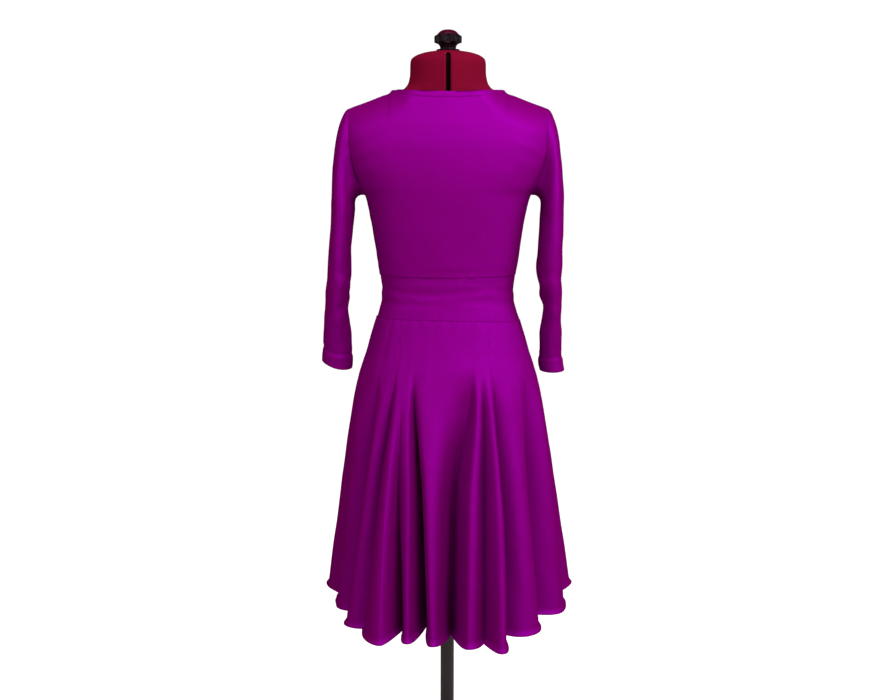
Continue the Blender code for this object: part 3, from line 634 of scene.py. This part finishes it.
sleeve = {
    "gap": 0.0001,
    "top": 1.180,
    "grid": (112, 48, 150),       # points round, down the cap, down the tube
    "flat": (0.275, 0.505),
    "area": 0.106,
    "cuff": {"right": (0.860, 0.001), "left": (0.864, 0.016)},  # the wrist's height, and its rise outside
    "hem": {"depth": 0.026, "soft": 0.0040, "step": 0.0005,
            "draw": 0.0012, "drawWidth": 0.0045, "ripple": 0.0006},
    "creases": (                  # height, slope across the depth, depth of fold, width, share of it
        (1.012, 0.50, 0.0014, 0.0130, 1.0),
        (0.990, -0.42, 0.0016, 0.0120, 1.0),
        (1.041, -0.55, 0.0009, 0.0150, 0.8),
        (0.962, 0.62, 0.0009, 0.0150, 0.7),
        (1.085, 0.80, 0.0006, 0.0180, 0.6),
        (0.930, -0.60, 0.0007, 0.0160, 0.6),
        (1.130, -0.80, 0.0007, 0.0180, 0.5),
        (1.160, 0.75, 0.0007, 0.0150, 0.5),
    ),
}

sleeveCuts = columns("at rightIn rightOut leftIn leftOut middle halfDepth", (
    (0.858, 0.1800, 0.2272, 0.1868, 0.2430, 0.020, 0.0362),
    (0.874, 0.1768, 0.2240, 0.1845, 0.2435, 0.020, 0.0372),
    (0.892, 0.1775, 0.2215, 0.1845, 0.2425, 0.018, 0.0375),
    (0.898, 0.1790, 0.2205, 0.1850, 0.2415, 0.018, 0.0380),
    (0.930, 0.1780, 0.2205, 0.1855, 0.2400, 0.014, 0.0415),
    (0.960, 0.1805, 0.2170, 0.1885, 0.2370, 0.009, 0.0450),
    (0.985, 0.1820, 0.2165, 0.1905, 0.2335, 0.004, 0.0475),
    (1.010, 0.1765, 0.2170, 0.1880, 0.2320, 0.000, 0.0495),
    (1.036, 0.1710, 0.2165, 0.1845, 0.2300, -0.003, 0.0515),
    (1.065, 0.1685, 0.2180, 0.1835, 0.2280, -0.004, 0.0535),
    (1.095, 0.1700, 0.2175, 0.1830, 0.2255, -0.004, 0.0560),
    (1.130, 0.1730, 0.2185, 0.1805, 0.2220, -0.002, 0.0590),
    (1.170, 0.1750, 0.2180, 0.1760, 0.2195, 0.000, 0.0610),
))


def sleeveRing(turn, z, side, hand):
    # an oval between the sleeve's inner and outer edge, each point at its own height
    inside, outside = follow(sleeveCuts, side + "In", z), follow(sleeveCuts, side + "Out", z)
    x = (inside + outside) / 2 + (outside - inside) / 2 * np.cos(turn)
    y = follow(sleeveCuts, "middle", z) - follow(sleeveCuts, "halfDepth", z) * np.sin(turn)
    return np.stack([hand * x, y, z], axis=-1)


def cuffHeight(side, turn):
    # the wrist's edge is lowest at the inner side and rises towards the outer side
    height, rise = sleeve["cuff"][side]
    return height + rise * (0.5 + 0.5 * np.cos(turn)) ** 2


def sleeveGrid(side, hand):
    # the cap is a smooth curve from each point of the armhole to the tube's first ring,
    # leaving outwards and arriving straight down; below it are ovals down to the wrist's edge
    around, capRows, tubeRows = sleeve["grid"]
    turn, down = np.meshgrid(np.linspace(0, 2 * math.pi, around, endpoint=False), np.linspace(0, 1, capRows))
    middle, half = (body["shoulderTip"] + body["armpit"]) / 2, (body["shoulderTip"] - body["armpit"]) / 2
    z = middle + half * np.cos(turn)
    behind = np.sin(turn) > 0
    xBack, xFront = follow(armholes, "back", z), follow(armholes, "front", z)
    lip = body["seamGap"] / 2 * np.abs(np.sin(turn))
    y = np.where(behind, -bodyDepth(xBack, z, "back") - lip, bodyDepth(xFront, z, "front") + lip)
    start = np.stack([hand * (np.where(behind, xBack, xFront) + sleeve["gap"]), y, z], axis=-1)
    end = sleeveRing(turn, np.full_like(turn, sleeve["top"]), side, hand)
    leave = 0.044 + 0.022 * np.cos(turn)
    under = (0.5 - 0.5 * np.cos(turn)) ** 4      # 1 at the armpit, which is squarer
    arrive = 0.105 + 0.085 * np.cos(turn) + 0.025 * under
    sink = -0.30 + 0.05 * np.cos(turn) + 0.45 * under
    out = np.stack([hand * leave, -0.10 * leave * np.sin(turn), sink * leave], axis=-1)
    fall = np.stack([0 * arrive, 0 * arrive, -arrive], axis=-1)
    t = down[..., None]
    cap = (1 + 2 * t) * (1 - t) ** 2 * start + t * (1 - t) ** 2 * out
    cap = cap + t * t * (3 - 2 * t) * end - t * t * (1 - t) * fall
    turn, down = np.meshgrid(turn[0], np.linspace(0, 1, tubeRows + 1)[1:])
    z = sleeve["top"] + (cuffHeight(side, turn) - sleeve["top"]) * down
    return np.concatenate([cap, sleeveRing(turn, z, side, hand)])


def makeSleeve(side, hand):
    around, capRows, tubeRows = sleeve["grid"]
    points = sleeveGrid(side, hand)
    turn = np.linspace(0, 2 * math.pi, around, endpoint=False)[None, :] + 0 * points[..., 0]
    z = points[..., 2]
    normal = gridNormals(points, True, hand)
    push = np.zeros_like(z)
    seed = 100 if hand > 0 else 140
    for k, (height, slope, deep, width, shown) in enumerate(sleeve["creases"]):
        # creases cross the inner side of the elbow and fade towards the outer side
        line = z - height - slope * 0.05 * np.sin(turn + 0.4 * k) - 0.006 * hand * math.sin(2.1 * k)
        line = line - 0.004 * softNoise(turn * 1.6, z * 0 + k, seed + k)
        inner = 0.35 + 0.65 * (0.5 - 0.5 * np.cos(turn + 0.5 * math.sin(1.9 * k + hand)))
        fold = bell(line, width) - 0.75 * bell(line - 1.55 * width, 0.85 * width)
        push += deep * shown * inner * fold
    push += 0.0011 * softNoise(turn * 1.4, z * 16, seed + 20)
    push += 0.0005 * softNoise(turn * 3.2, z * 40, seed + 21)
    # the turned hem: double cloth that stands out a little, with a drawn-in line of stitches above
    hem = sleeve["hem"]
    up = z - cuffHeight(side, turn)
    hemStep = np.clip((hem["depth"] - up) / hem["soft"], 0, 1) * hem["step"]
    draw = -hem["draw"] * bell(up - hem["depth"] - 0.0030, hem["drawWidth"])
    ripple = hem["ripple"] * softNoise(turn * 6.5, up / 0.02, seed + 22)
    ripple = ripple * np.clip(1 - np.abs(up - hem["depth"]) / 0.030, 0, 1)
    push = push * np.clip((up - 0.004) / 0.03, 0, 1) + hemStep + draw + ripple
    fromCap = np.clip(np.arange(capRows + tubeRows) / 12.0, 0, 1)[:, None]
    points = points + normal * (push * fromCap)[..., None]
    points = sewnEdges(points, True, hand, ("top", "sleeveTop", seed + 30))
    piece = clothShell("sleeve" + side.title(), "sleeve_" + side, points, around=True, turn=hand)


makeSleeve("right", 1.0)
makeSleeve("left", -1.0)
print("sleeves made")


# Skirt

skirt = {
    "hem": 0.410,
    "margin": -9.0,               # in seam gaps: the gores lap a little, so no light shows through
    "hemRoll": 0.0042,            # how far the stretched hem curls out, over how many metres
    "rollHeight": 0.012,
    "turnedEdge": (0.0003, 0.006, 0.0020),  # its step, its depth and how soft the step is
    "foldLevels": (0.410, 0.6475, 0.885, 0.985),
    "foldHigh": 0.800,
    "rows": np.concatenate([np.linspace(0, 0.012, 5)[:-1], np.linspace(0.012, 0.972, 108)[:-1],
                            np.linspace(0.972, 1, 13)]),
}

skirtCuts = columns("at halfWidth back front square", (
    (0.410, 0.2300, 0.2120, 0.2240, 0.00),
    (0.470, 0.2235, 0.2010, 0.2140, 0.00),
    (0.530, 0.2165, 0.1900, 0.2030, 0.00),
    (0.600, 0.2085, 0.1760, 0.1900, 0.02),
    (0.660, 0.2015, 0.1640, 0.1780, 0.03),
    (0.720, 0.1950, 0.1520, 0.1660, 0.05),
    (0.780, 0.1870, 0.1400, 0.1530, 0.08),
    (0.830, 0.1780, 0.1290, 0.1400, 0.11),
    (0.870, 0.1670, 0.1180, 0.1280, 0.14),
    (0.900, 0.1565, 0.1080, 0.1200, 0.16),
    (0.930, 0.1480, 0.0995, 0.1130, 0.17),
    (0.960, 0.1385, 0.0925, 0.1080, 0.18),
    (0.985, 0.1300, 0.0870, 0.1040, 0.20),
))

# a row for each ridge and each valley, from the left side round the back: its angle at the
# hem, half way, at the hip and at the waist; how far it stands out at the hem, half way and at
# the top of the folds; the height where it starts, how broad it is beside the next rows, and how
# far it lifts the hem
folds = columns("hem middle hip waist hemOut middleOut highOut start hold rise", (
    (-107, -106, -104, -104, 0.021, 0.012, 0.004, 0.870, 1.20, 0.003),
    (-90, -90, -90, -90, -0.018, -0.010, -0.003, 0.870, 0.90, 0.002),
    (-71, -70, -72, -74, -0.007, -0.002, 0.001, 0.870, 1.30, 0.000),
    (-58.5, -54.5, -49.5, -58, -0.044, -0.034, -0.012, 0.870, 0.65, 0.002),
    (-46.5, -45.3, -42, -50, 0.022, 0.013, 0.005, 0.880, 1.20, 0.000),
    (-39.5, -39.1, -35.2, -41.5, 0.012, -0.005, -0.009, 0.885, 0.80, 0.000),
    (-25, -28.8, -30.5, -34, 0.064, 0.036, 0.012, 0.885, 1.25, 0.000),
    (-21.6, -25.6, -28, -31, -0.030, 0.002, 0.009, 0.885, 0.80, 0.006),
    (-16, -18.9, -25.4, -28, 0.042, 0.026, 0.011, 0.885, 1.30, 0.000),
    (-10.9, -15.6, -22.6, -24, -0.080, -0.044, -0.014, 0.888, 0.70, 0.012),
    (-6.2, -9.3, -16.5, -18, 0.045, 0.026, 0.007, 0.885, 1.35, 0.000),
    (1.6, 3.5, 15, 14, -0.046, -0.041, -0.020, 0.888, 1.00, -0.010),
    (7, 10.3, 18.2, 19, 0.057, 0.034, 0.012, 0.885, 1.30, 0.000),
    (13.8, 17.2, 22, 24, 0.026, 0.003, -0.003, 0.880, 0.70, 0.000),
    (17.2, 21.8, 25.2, 29, 0.088, 0.047, 0.015, 0.885, 1.05, 0.000),
    (24.5, 29, 29, 34, -0.002, -0.010, -0.008, 0.885, 0.75, 0.000),
    (34, 37.7, 41, 46, 0.037, 0.019, 0.005, 0.880, 1.40, 0.000),
    (50.5, 52.5, 59, 64, -0.042, -0.038, -0.013, 0.870, 0.70, 0.004),
    (64.5, 67, 72.5, 76, 0.010, 0.010, 0.004, 0.870, 1.20, 0.002),
    (90, 90, 90, 90, -0.016, -0.009, -0.002, 0.870, 0.90, 0.004),
    (107, 106, 104, 104, 0.030, 0.016, 0.005, 0.870, 1.20, 0.003),
    (118, 118, 119, 119, -0.020, -0.011, -0.003, 0.870, 0.80, 0.004),
    (130, 130, 130, 130, 0.022, 0.013, 0.004, 0.875, 1.25, 0.000),
    (148, 147.5, 145.5, 143, -0.034, -0.020, -0.007, 0.880, 0.80, 0.008),
    (156, 155.5, 153.5, 151, 0.034, 0.020, 0.007, 0.880, 1.20, -0.004),
    (166.5, 166, 165, 164, -0.046, -0.028, -0.011, 0.885, 0.75, 0.010),
    (177, 177, 177, 177, 0.026, 0.016, 0.006, 0.885, 1.30, 0.000),
    (188, 188.5, 189, 190, -0.030, -0.018, -0.007, 0.880, 0.80, 0.006),
    (199, 200, 201, 204, 0.038, 0.023, 0.009, 0.880, 1.20, -0.002),
    (212, 212.5, 214.5, 217, -0.036, -0.021, -0.008, 0.880, 0.80, 0.008),
    (223, 223.5, 225, 227, 0.020, 0.012, 0.004, 0.875, 1.25, 0.000),
    (233, 233.5, 234.5, 236, -0.022, -0.012, -0.003, 0.870, 0.85, 0.004),
    (241, 241.5, 242, 243, 0.010, 0.006, 0.002, 0.870, 1.15, 0.001),
    (246.5, 247, 248.5, 249, -0.010, -0.005, -0.001, 0.870, 0.90, 0.003),
))

# each gore lies between two valleys: its node, the rows of those two, how many points from
# fold to fold, the cut's size and its area
gores = (
    ("skirtBack", "skirt_back", 5, 15, 22, (0.94, 0.59), 0.287),
    ("skirtSideBackRight", "skirt_side_back_right", 15, 19, 28, (0.35, 0.57), 0.132),
    ("skirtSideFrontRight", "skirt_side_front_right", 19, 23, 24, (0.32, 0.57), 0.119),
    ("skirtFront", "skirt_front", 23, 29, 20, (0.53, 0.58), 0.184),
    ("skirtSideFrontLeft", "skirt_side_front_left", 29, 35, 18, (0.33, 0.57), 0.122),
    ("skirtSideBackLeft", "skirt_side_back_left", 1, 5, 28, (0.25, 0.57), 0.104),
)


def foldAngles(row, z):
    # the angle of a fold at each height; rows past the last go round again
    wrap, row = divmod(row, len(folds["hem"]))
    angles = [folds[name][row] for name in ("hem", "middle", "hip", "waist")]
    curve = {"at": skirt["foldLevels"], "angle": angles}
    return follow(curve, "angle", z) + 360 * wrap


def foldOut(row, z):
    # how far a fold stands out at each height, from nothing at its start
    row = row % len(folds["hem"])
    low, middle, waist = (skirt["foldLevels"][k] for k in (0, 1, 3))
    start = folds["start"][row]
    curve = {"at": (low, middle, skirt["foldHigh"], start, waist),
             "out": [folds[name][row] for name in ("hemOut", "middleOut", "highOut")] + [0, 0]}
    return follow(curve, "out", z)


def goreGrid(first, last, fine):
    # columns follow the folds from valley to ridge, rows fall from the waistband to the hem; each
    # level cut is an oval, and the folds stand out along its normal
    at, down = np.meshgrid(np.linspace(first, last, (last - first) * fine + 1), skirt["rows"])
    row = np.minimum(np.floor(at).astype(int), last - 1)
    count = len(folds["hem"])
    hold, rise = np.array(folds["hold"]), np.array(folds["rise"])
    # from one row to the next a smoothstep, drawn out beside the row that is broader
    ratio = hold[row % count] / hold[(row + 1) % count]
    t = at - row
    share = np.where(ratio < 1, t ** ratio, 1 - (1 - t) ** (1 / ratio))
    share = share * share * (3 - 2 * share)
    level = body["lowSeam"][0] + (skirt["hem"] - body["lowSeam"][0]) * down
    angles = np.stack([foldAngles(k, level[:, 0]) for k in range(first, last + 1)], axis=1)
    left = np.take_along_axis(angles, row - first, axis=1)
    right = np.take_along_axis(angles, row + 1 - first, axis=1)
    margin = math.degrees(skirt["margin"] * body["seamGap"] / body["waistHalf"])
    degrees = left + (right - left) * t + margin * (1 - 2 * (at - first) / (last - first))
    angle = np.radians(degrees)
    lift = rise[row % count] + (rise[(row + 1) % count] - rise[row % count]) * share
    top = lowSeam(body["waistHalf"] * np.sin(angle)) - body["seamGap"] / 2
    z = top + (skirt["hem"] + lift - top) * down
    half, reach, x, y = levelCut(skirtCuts, angle, z)
    outX, outY = np.sin(angle) * reach, -np.cos(angle) * half
    length = np.hypot(outX, outY)
    near, far = np.zeros_like(z), np.zeros_like(z)
    for k in range(first, last):
        here = row == k
        near[here], far[here] = foldOut(k, z[here]), foldOut(k + 1, z[here])
    out = near + (far - near) * share
    # small second folds that ride on the large ones, and a soft unevenness
    grown = np.clip((0.86 - z) / 0.45, 0, 1)
    out = out + grown * 0.0020 * softNoise(degrees / 6.5 + 9 * z, z * 2.2, 201)
    out = out + 0.0006 * softNoise(degrees / 5, z * 22, 203)
    return np.stack([x + out * outX / length, y + out * outY / length, z], axis=-1)


def makeGore(name, node, first, last, fine, flat, area):
    points = goreGrid(first, last, fine)
    points = sewnEdges(points, False, -1.0, ("left", "gore", 211), ("right", "gore", 212),
                       ("top", "skirtTop", 213))
    # the hem is stretched as it is sewn, so its last millimetres curl out
    up = distances(points, "bottom")
    curl = skirt["hemRoll"] * np.clip(1 - up / skirt["rollHeight"], 0, 1) ** 2
    step, depth, soft = skirt["turnedEdge"]
    curl = curl + step * np.clip((depth - up) / soft, 0, 1)
    points = points + gridNormals(points, False, -1.0) * curl[..., None]
    piece = clothShell(name, node, points, turn=-1.0)


for gore in gores:
    makeGore(*gore)
print("skirt made")


# The dress form

form = {
    "slotHalf": 0.0043,
    "slotEdge": 0.0016,           # how wide the cover's roll into the slot is
    "slotDepth": 0.012,
    "slotTop": 1.4545,            # the slot's rounded upper end, and how high that rounding is
    "slotRound": 0.004,
    "lip": (0.0007, 0.0042, 0.0022),  # raised beside the slot: height, distance and width
    "pull": 0.00025,
    "plateInset": 0.0065,
    "levels": 120,
    "round": 132,
}

formCuts = columns("at halfWidth back front square slot", (
    (0.7000, 0.1180, 0.0720, 0.0760, 0.10, 0.0),
    (0.7030, 0.1300, 0.0840, 0.0880, 0.10, 0.0),
    (0.7120, 0.1390, 0.0920, 0.0960, 0.10, 0.0),
    (0.7500, 0.1490, 0.1010, 0.1050, 0.10, 0.0),
    (0.8000, 0.1560, 0.1060, 0.1120, 0.12, 0.0),
    (0.8500, 0.1540, 0.1040, 0.1130, 0.13, 0.0),
    (0.9000, 0.1460, 0.0985, 0.1090, 0.14, 0.0),
    (0.9400, 0.1370, 0.0910, 0.1040, 0.16, 0.0),
    (0.9700, 0.1290, 0.0840, 0.1000, 0.18, 0.0),
    (1.0000, 0.1208, 0.0785, 0.0965, 0.19, 0.0),
    (1.0300, 0.1198, 0.0765, 0.0955, 0.19, 0.0),
    (1.0750, 0.1280, 0.0790, 0.0990, 0.20, 0.0),
    (1.1100, 0.1340, 0.0835, 0.1045, 0.21, 0.0),
    (1.1500, 0.1400, 0.0880, 0.1090, 0.23, 0.0),
    (1.1800, 0.1470, 0.0915, 0.1115, 0.26, 0.0),
    (1.2100, 0.1590, 0.0935, 0.1125, 0.29, 0.0),
    (1.2400, 0.1740, 0.0945, 0.1105, 0.31, 0.0),
    (1.2800, 0.1900, 0.0935, 0.1045, 0.31, 0.0),
    (1.3150, 0.1950, 0.0890, 0.0975, 0.26, 0.0),
    (1.3350, 0.1900, 0.0845, 0.0900, 0.16, 0.0),
    (1.3500, 0.1790, 0.0760, 0.0780, 0.00, 0.5),
    (1.3560, 0.1755, 0.0720, 0.0730, -0.12, 0.8),
    (1.3620, 0.1622, 0.0690, 0.0680, -0.24, 1.0),
    (1.3710, 0.1386, 0.0662, 0.0645, -0.26, 1.0),
    (1.3790, 0.1178, 0.0640, 0.0615, -0.30, 1.0),
    (1.3840, 0.1015, 0.0630, 0.0605, -0.30, 1.0),
    (1.3880, 0.0905, 0.0625, 0.0618, -0.08, 1.0),
    (1.3940, 0.0800, 0.0620, 0.0622, 0.00, 1.0),
    (1.4040, 0.0735, 0.0612, 0.0612, 0.00, 1.0),
    (1.4200, 0.0705, 0.0610, 0.0610, 0.00, 1.0),
    (1.4380, 0.0700, 0.0610, 0.0610, 0.00, 1.0),
    (1.4450, 0.0685, 0.0597, 0.0597, 0.00, 1.0),
    (1.4510, 0.0620, 0.0540, 0.0540, 0.00, 0.9),
    (1.4560, 0.0500, 0.0435, 0.0435, 0.00, 0.7),
    (1.4595, 0.0340, 0.0300, 0.0300, 0.00, 0.4),
    (1.4612, 0.0170, 0.0150, 0.0150, 0.00, 0.0),
))


def stackedMesh(name, rings, look):
    # a closed solid through level rings from the bottom up, with a fan at each end
    rows, cols = rings.shape[:2]
    side = gridFaces(rows, cols, True)
    centres = np.stack([rings[0].mean(axis=0), rings[-1].mean(axis=0)])
    points = np.concatenate([rings.reshape(-1, 3), centres])
    c = np.arange(cols)
    foot = np.stack([np.full(cols, rows * cols), (c + 1) % cols, c], axis=1)
    high = (rows - 1) * cols
    top = np.stack([np.full(cols, rows * cols + 1), high + c, high + (c + 1) % cols], axis=1)
    tris = np.concatenate([side[:, [0, 1, 2]], side[:, [0, 2, 3]], foot, top])
    return putMesh(name, points, tris, look)


def slotWidth(z):
    # half the slot's width times the root of the distance below its upper end over slotRound,
    # which is 1 at the most
    return form["slotHalf"] * np.sqrt(np.clip((form["slotTop"] - z) / form["slotRound"], 0, 1))


def makeForm():
    # the cover is drawn over two half shells, so its edge rolls into the slot on each side
    heights = np.unique(np.concatenate([
        np.linspace(formCuts["at"][0], formCuts["at"][-1], form["levels"]),
        np.linspace(1.38, formCuts["at"][-1], 56), np.linspace(0.70, 0.715, 8)]))
    even = np.linspace(0, 2 * math.pi, form["round"], endpoint=False)
    fine = np.radians(np.linspace(-9, 9, 37))
    angle = np.unique(np.round(np.concatenate([even, fine % (2 * math.pi), fine + math.pi]), 6))
    angle, z = np.meshgrid(angle, heights)
    half, reach, x, y = levelCut(formCuts, angle, z)
    plate = follow(armholes, "front", z) - form["plateInset"]
    plate = np.where((z > body["armpit"]) & (z < body["shoulderTip"]), plate, 9.0)
    share = np.clip(plate / half, 0, 1)
    flatReach = -reach * (1 + follow(formCuts, "square", z) * share ** 2) * np.cos(angle)
    x, y = np.where(np.abs(x) > plate, np.sign(x) * plate, x), np.where(np.abs(x) > plate, flatReach, y)
    across = np.abs(x)
    wide = slotWidth(z)
    groove = np.clip((wide + form["slotEdge"] / 2 - across) / form["slotEdge"], 0, 1) * (wide > 0)
    groove = groove * groove * (3 - 2 * groove)
    deep = np.minimum(form["slotDepth"] * follow(formCuts, "slot", z), 0.6 * np.abs(y))
    high, beside, width = form["lip"]
    lip = high * bell(across - form["slotHalf"] - beside, width) * follow(formCuts, "slot", z)
    y = y - np.sign(y) * (deep * groove - lip)
    # the cover's faint pull lines round the neck
    pull = form["pull"] * softNoise(angle * 7, z * 30, 301) * np.clip((z - 1.36) / 0.02, 0, 1)
    rings = np.stack([x * (1 + pull / 0.07), y * (1 + pull / 0.06), z], axis=-1)
    piece = stackedMesh("formBody", rings, jerseyCover)
    piece.data.materials.append(slotShade)
    centre = np.zeros(len(piece.data.polygons) * 3)
    piece.data.polygons.foreach_get("center", centre)
    centre = centre.reshape(-1, 3)
    inSlot = np.abs(centre[:, 0]) < slotWidth(centre[:, 2]) - 0.0003
    inSlot = inSlot & (centre[:, 2] > 1.345) & (np.abs(centre[:, 1]) > 0.012)
    piece.data.polygons.foreach_set("material_index", inSlot.astype(np.int32))
    place(piece, "form_body", "burgundy_jersey")


makeForm()


# Knob, pole and foot

knob = {
    "bottom": 1.4616,
    "lobes": 6,
    "round": 120,
    "levels": 70,
    "profile": columns("at radius lobe", (
        (0.0000, 0.0210, 0), (0.0004, 0.0215, 0), (0.0014, 0.0215, 0), (0.0021, 0.0205, 0),
        (0.0028, 0.0150, 0), (0.0040, 0.0146, 0), (0.0100, 0.0165, 0), (0.0126, 0.0196, 0.0008),
        (0.0140, 0.0212, 0.0034), (0.0152, 0.0215, 0.0040), (0.0252, 0.0215, 0.0040),
        (0.0266, 0.0212, 0.0034), (0.0282, 0.0203, 0.0012), (0.0305, 0.0186, 0), (0.0335, 0.0160, 0),
        (0.0360, 0.0120, 0), (0.0374, 0.0075, 0), (0.0378, 0.0030, 0))),
}


def makeKnob():
    # rings of a radius that swells and shrinks six times round the hand wheel
    at = knob["profile"]["at"]
    height = np.unique(np.concatenate([np.linspace(0, at[-1], knob["levels"]), at]))
    angle, height = np.meshgrid(np.linspace(0, 2 * math.pi, knob["round"], endpoint=False), height)
    wave = np.cos(knob["lobes"] * angle)
    radius = follow(knob["profile"], "radius", height) + follow(knob["profile"], "lobe", height) * wave
    rings = np.stack([radius * np.cos(angle), radius * np.sin(angle), knob["bottom"] + height], axis=-1)
    place(stackedMesh("formKnob", rings, glossPlastic), "knob", "black_plastic")


stand = {
    "poleRadius": 0.0135, "poleFoot": 0.0104, "poleTop": 0.6996, "poleRim": 0.0006, "poleSides": 96,
    "footRadius": 0.175, "footHeight": 0.010, "footEdge": 0.0022, "footSides": 192,
    "footInner": (0.10, 0.03),    # radii of the rings on the foot's flat top
}


def turnedRings(radius, height, sides):
    angle = np.linspace(0, 2 * math.pi, sides, endpoint=False)
    radius, height = np.array(radius)[:, None], np.array(height)[:, None] + 0 * angle
    return np.stack([radius * np.cos(angle), radius * np.sin(angle), height], axis=-1)


def makeStand():
    # a straight tube with its rims taken off, and a disc whose two rims are quarter rounds
    r, low, high, rim = (stand["pole" + name] for name in ("Radius", "Foot", "Top", "Rim"))
    pole = turnedRings([r - rim, r, r, r - rim], [low, low + rim, high - rim, high], stand["poleSides"])
    place(stackedMesh("formPole", pole, paintedSteel), "pole", "black_steel")
    turn = np.linspace(0, math.pi / 2, 9)
    edge, wide, tall = stand["footEdge"], stand["footRadius"], stand["footHeight"]
    radius = np.concatenate([wide - edge + edge * np.sin(turn), wide - edge + edge * np.cos(turn)])
    height = np.concatenate([edge - edge * np.cos(turn), tall - edge + edge * np.sin(turn)])
    radius, height = np.concatenate([radius, stand["footInner"]]), np.concatenate([height, [tall, tall]])
    foot = turnedRings(radius, height, stand["footSides"])
    place(stackedMesh("formFoot", foot, paintedSteel), "base", "black_steel")


makeKnob()
makeStand()
print("form, knob and stand made")


# Floor, light and camera

studio = {
    "floor": (0.80, 0.80, 0.80, 1),
    "backdrop": 1.05,                  # brightness of the white ground behind
    "lift": 0.97,                      # and how much the floor is lifted towards it
    "room": (0.175, 0.055, 0.040, 1),   # the dim, reddish light that fills the shadows
    "lamps": (                         # name, place, size, watts, aim
        ("keyLight", (1.15, -1.62, 2.38), 1.3, 36, (0, 0, 1.20)),
        ("sideLight", (-1.30, -1.60, 2.15), 1.3, 10, (0, 0, 1.20)),
        ("sleeveLight", (-1.15, -0.75, 1.85), 0.6, 3, (-0.20, 0, 1.20)),
        ("edgeLight", (2.10, -0.40, 1.70), 1.0, 12, (0, 0, 1.10)),
        ("topLight", (0.00, -0.70, 2.80), 1.2, 9, (0, 0, 1.00)),
    ),
}


def cameraRay(nodes, links, strength):
    # strength where the camera looks straight at it, and nothing for the light it gives
    path = nodes.new("ShaderNodeLightPath")
    times = nodes.new("ShaderNodeMath")
    times.operation = "MULTIPLY"
    links.new(path.outputs["Is Camera Ray"], times.inputs[0])
    times.inputs[1].default_value = strength
    return times.outputs[0]


def makeFloor():
    # a pale floor, lifted to the photograph's white without lighting the dress from below
    look = Look("paleFloor")
    grain = look.noise(60.0)
    colour = look.blend(grain, studio["floor"], tuple(0.99 * c for c in studio["floor"][:3]) + (1,))
    material = look.give(Base_Color=colour, Roughness=0.85, Specular_IOR_Level=0.2)
    lift = look.nodes.new("ShaderNodeEmission")
    look.links.new(cameraRay(look.nodes, look.links, studio["lift"]), lift.inputs["Strength"])
    both = look.nodes.new("ShaderNodeAddShader")
    look.links.new(look.shader.outputs[0], both.inputs[0])
    look.links.new(lift.outputs[0], both.inputs[1])
    look.links.new(both.outputs[0], look.nodes["Material Output"].inputs["Surface"])
    half = 30.0
    corner = np.array([[-half, -half, 0], [half, -half, 0], [half, half, 0], [-half, half, 0]])
    putMesh("floor", corner, np.array([[0, 1, 2, 3]]), material)


def makeLamp(name, spot, size, watts, aim):
    light = bpy.data.lights.new(name, "AREA")
    light.shape, light.size, light.energy = "DISK", size, watts
    lamp = bpy.data.objects.new(name, light)
    bpy.context.scene.collection.objects.link(lamp)
    lamp.location = spot
    lamp.rotation_euler = (Vector(spot) - Vector(aim)).to_track_quat("Z", "Y").to_euler()


def makeStudio():
    world = bpy.data.worlds.new("studioSky")
    world.use_nodes = True
    nodes, links = world.node_tree.nodes, world.node_tree.links
    room = nodes["Background"]
    room.inputs["Color"].default_value = studio["room"]
    seen = nodes.new("ShaderNodeBackground")
    seen.inputs["Color"].default_value = (1, 1, 1, 1)
    seen.inputs["Strength"].default_value = studio["backdrop"]
    mix = nodes.new("ShaderNodeMixShader")
    links.new(cameraRay(nodes, links, 1.0), mix.inputs[0])
    links.new(room.outputs[0], mix.inputs[1])
    links.new(seen.outputs[0], mix.inputs[2])
    links.new(mix.outputs[0], nodes["World Output"].inputs["Surface"])
    bpy.context.scene.world = world
    for lamp in studio["lamps"]:
        makeLamp(*lamp)
    bpy.context.scene.view_settings.view_transform = "Standard"


camera = {
    "place": (-0.0195, -2.2, 1.25),
    "tilt": 9.0,               # degrees below the level
    "focalPixels": 1158.0,     # the picture is 875 x 700
    "width": 875.0,
}


def makeCamera():
    data = bpy.data.cameras.new("view")
    data.sensor_width = 36.0
    data.lens = 36.0 * camera["focalPixels"] / camera["width"]
    view = bpy.data.objects.new("view", data)
    bpy.context.scene.collection.objects.link(view)
    view.location = camera["place"]
    view.rotation_euler = (math.radians(90 - camera["tilt"]), 0, 0)
    bpy.context.scene.camera = view


makeFloor()
makeStudio()
makeCamera()
print("studio made")
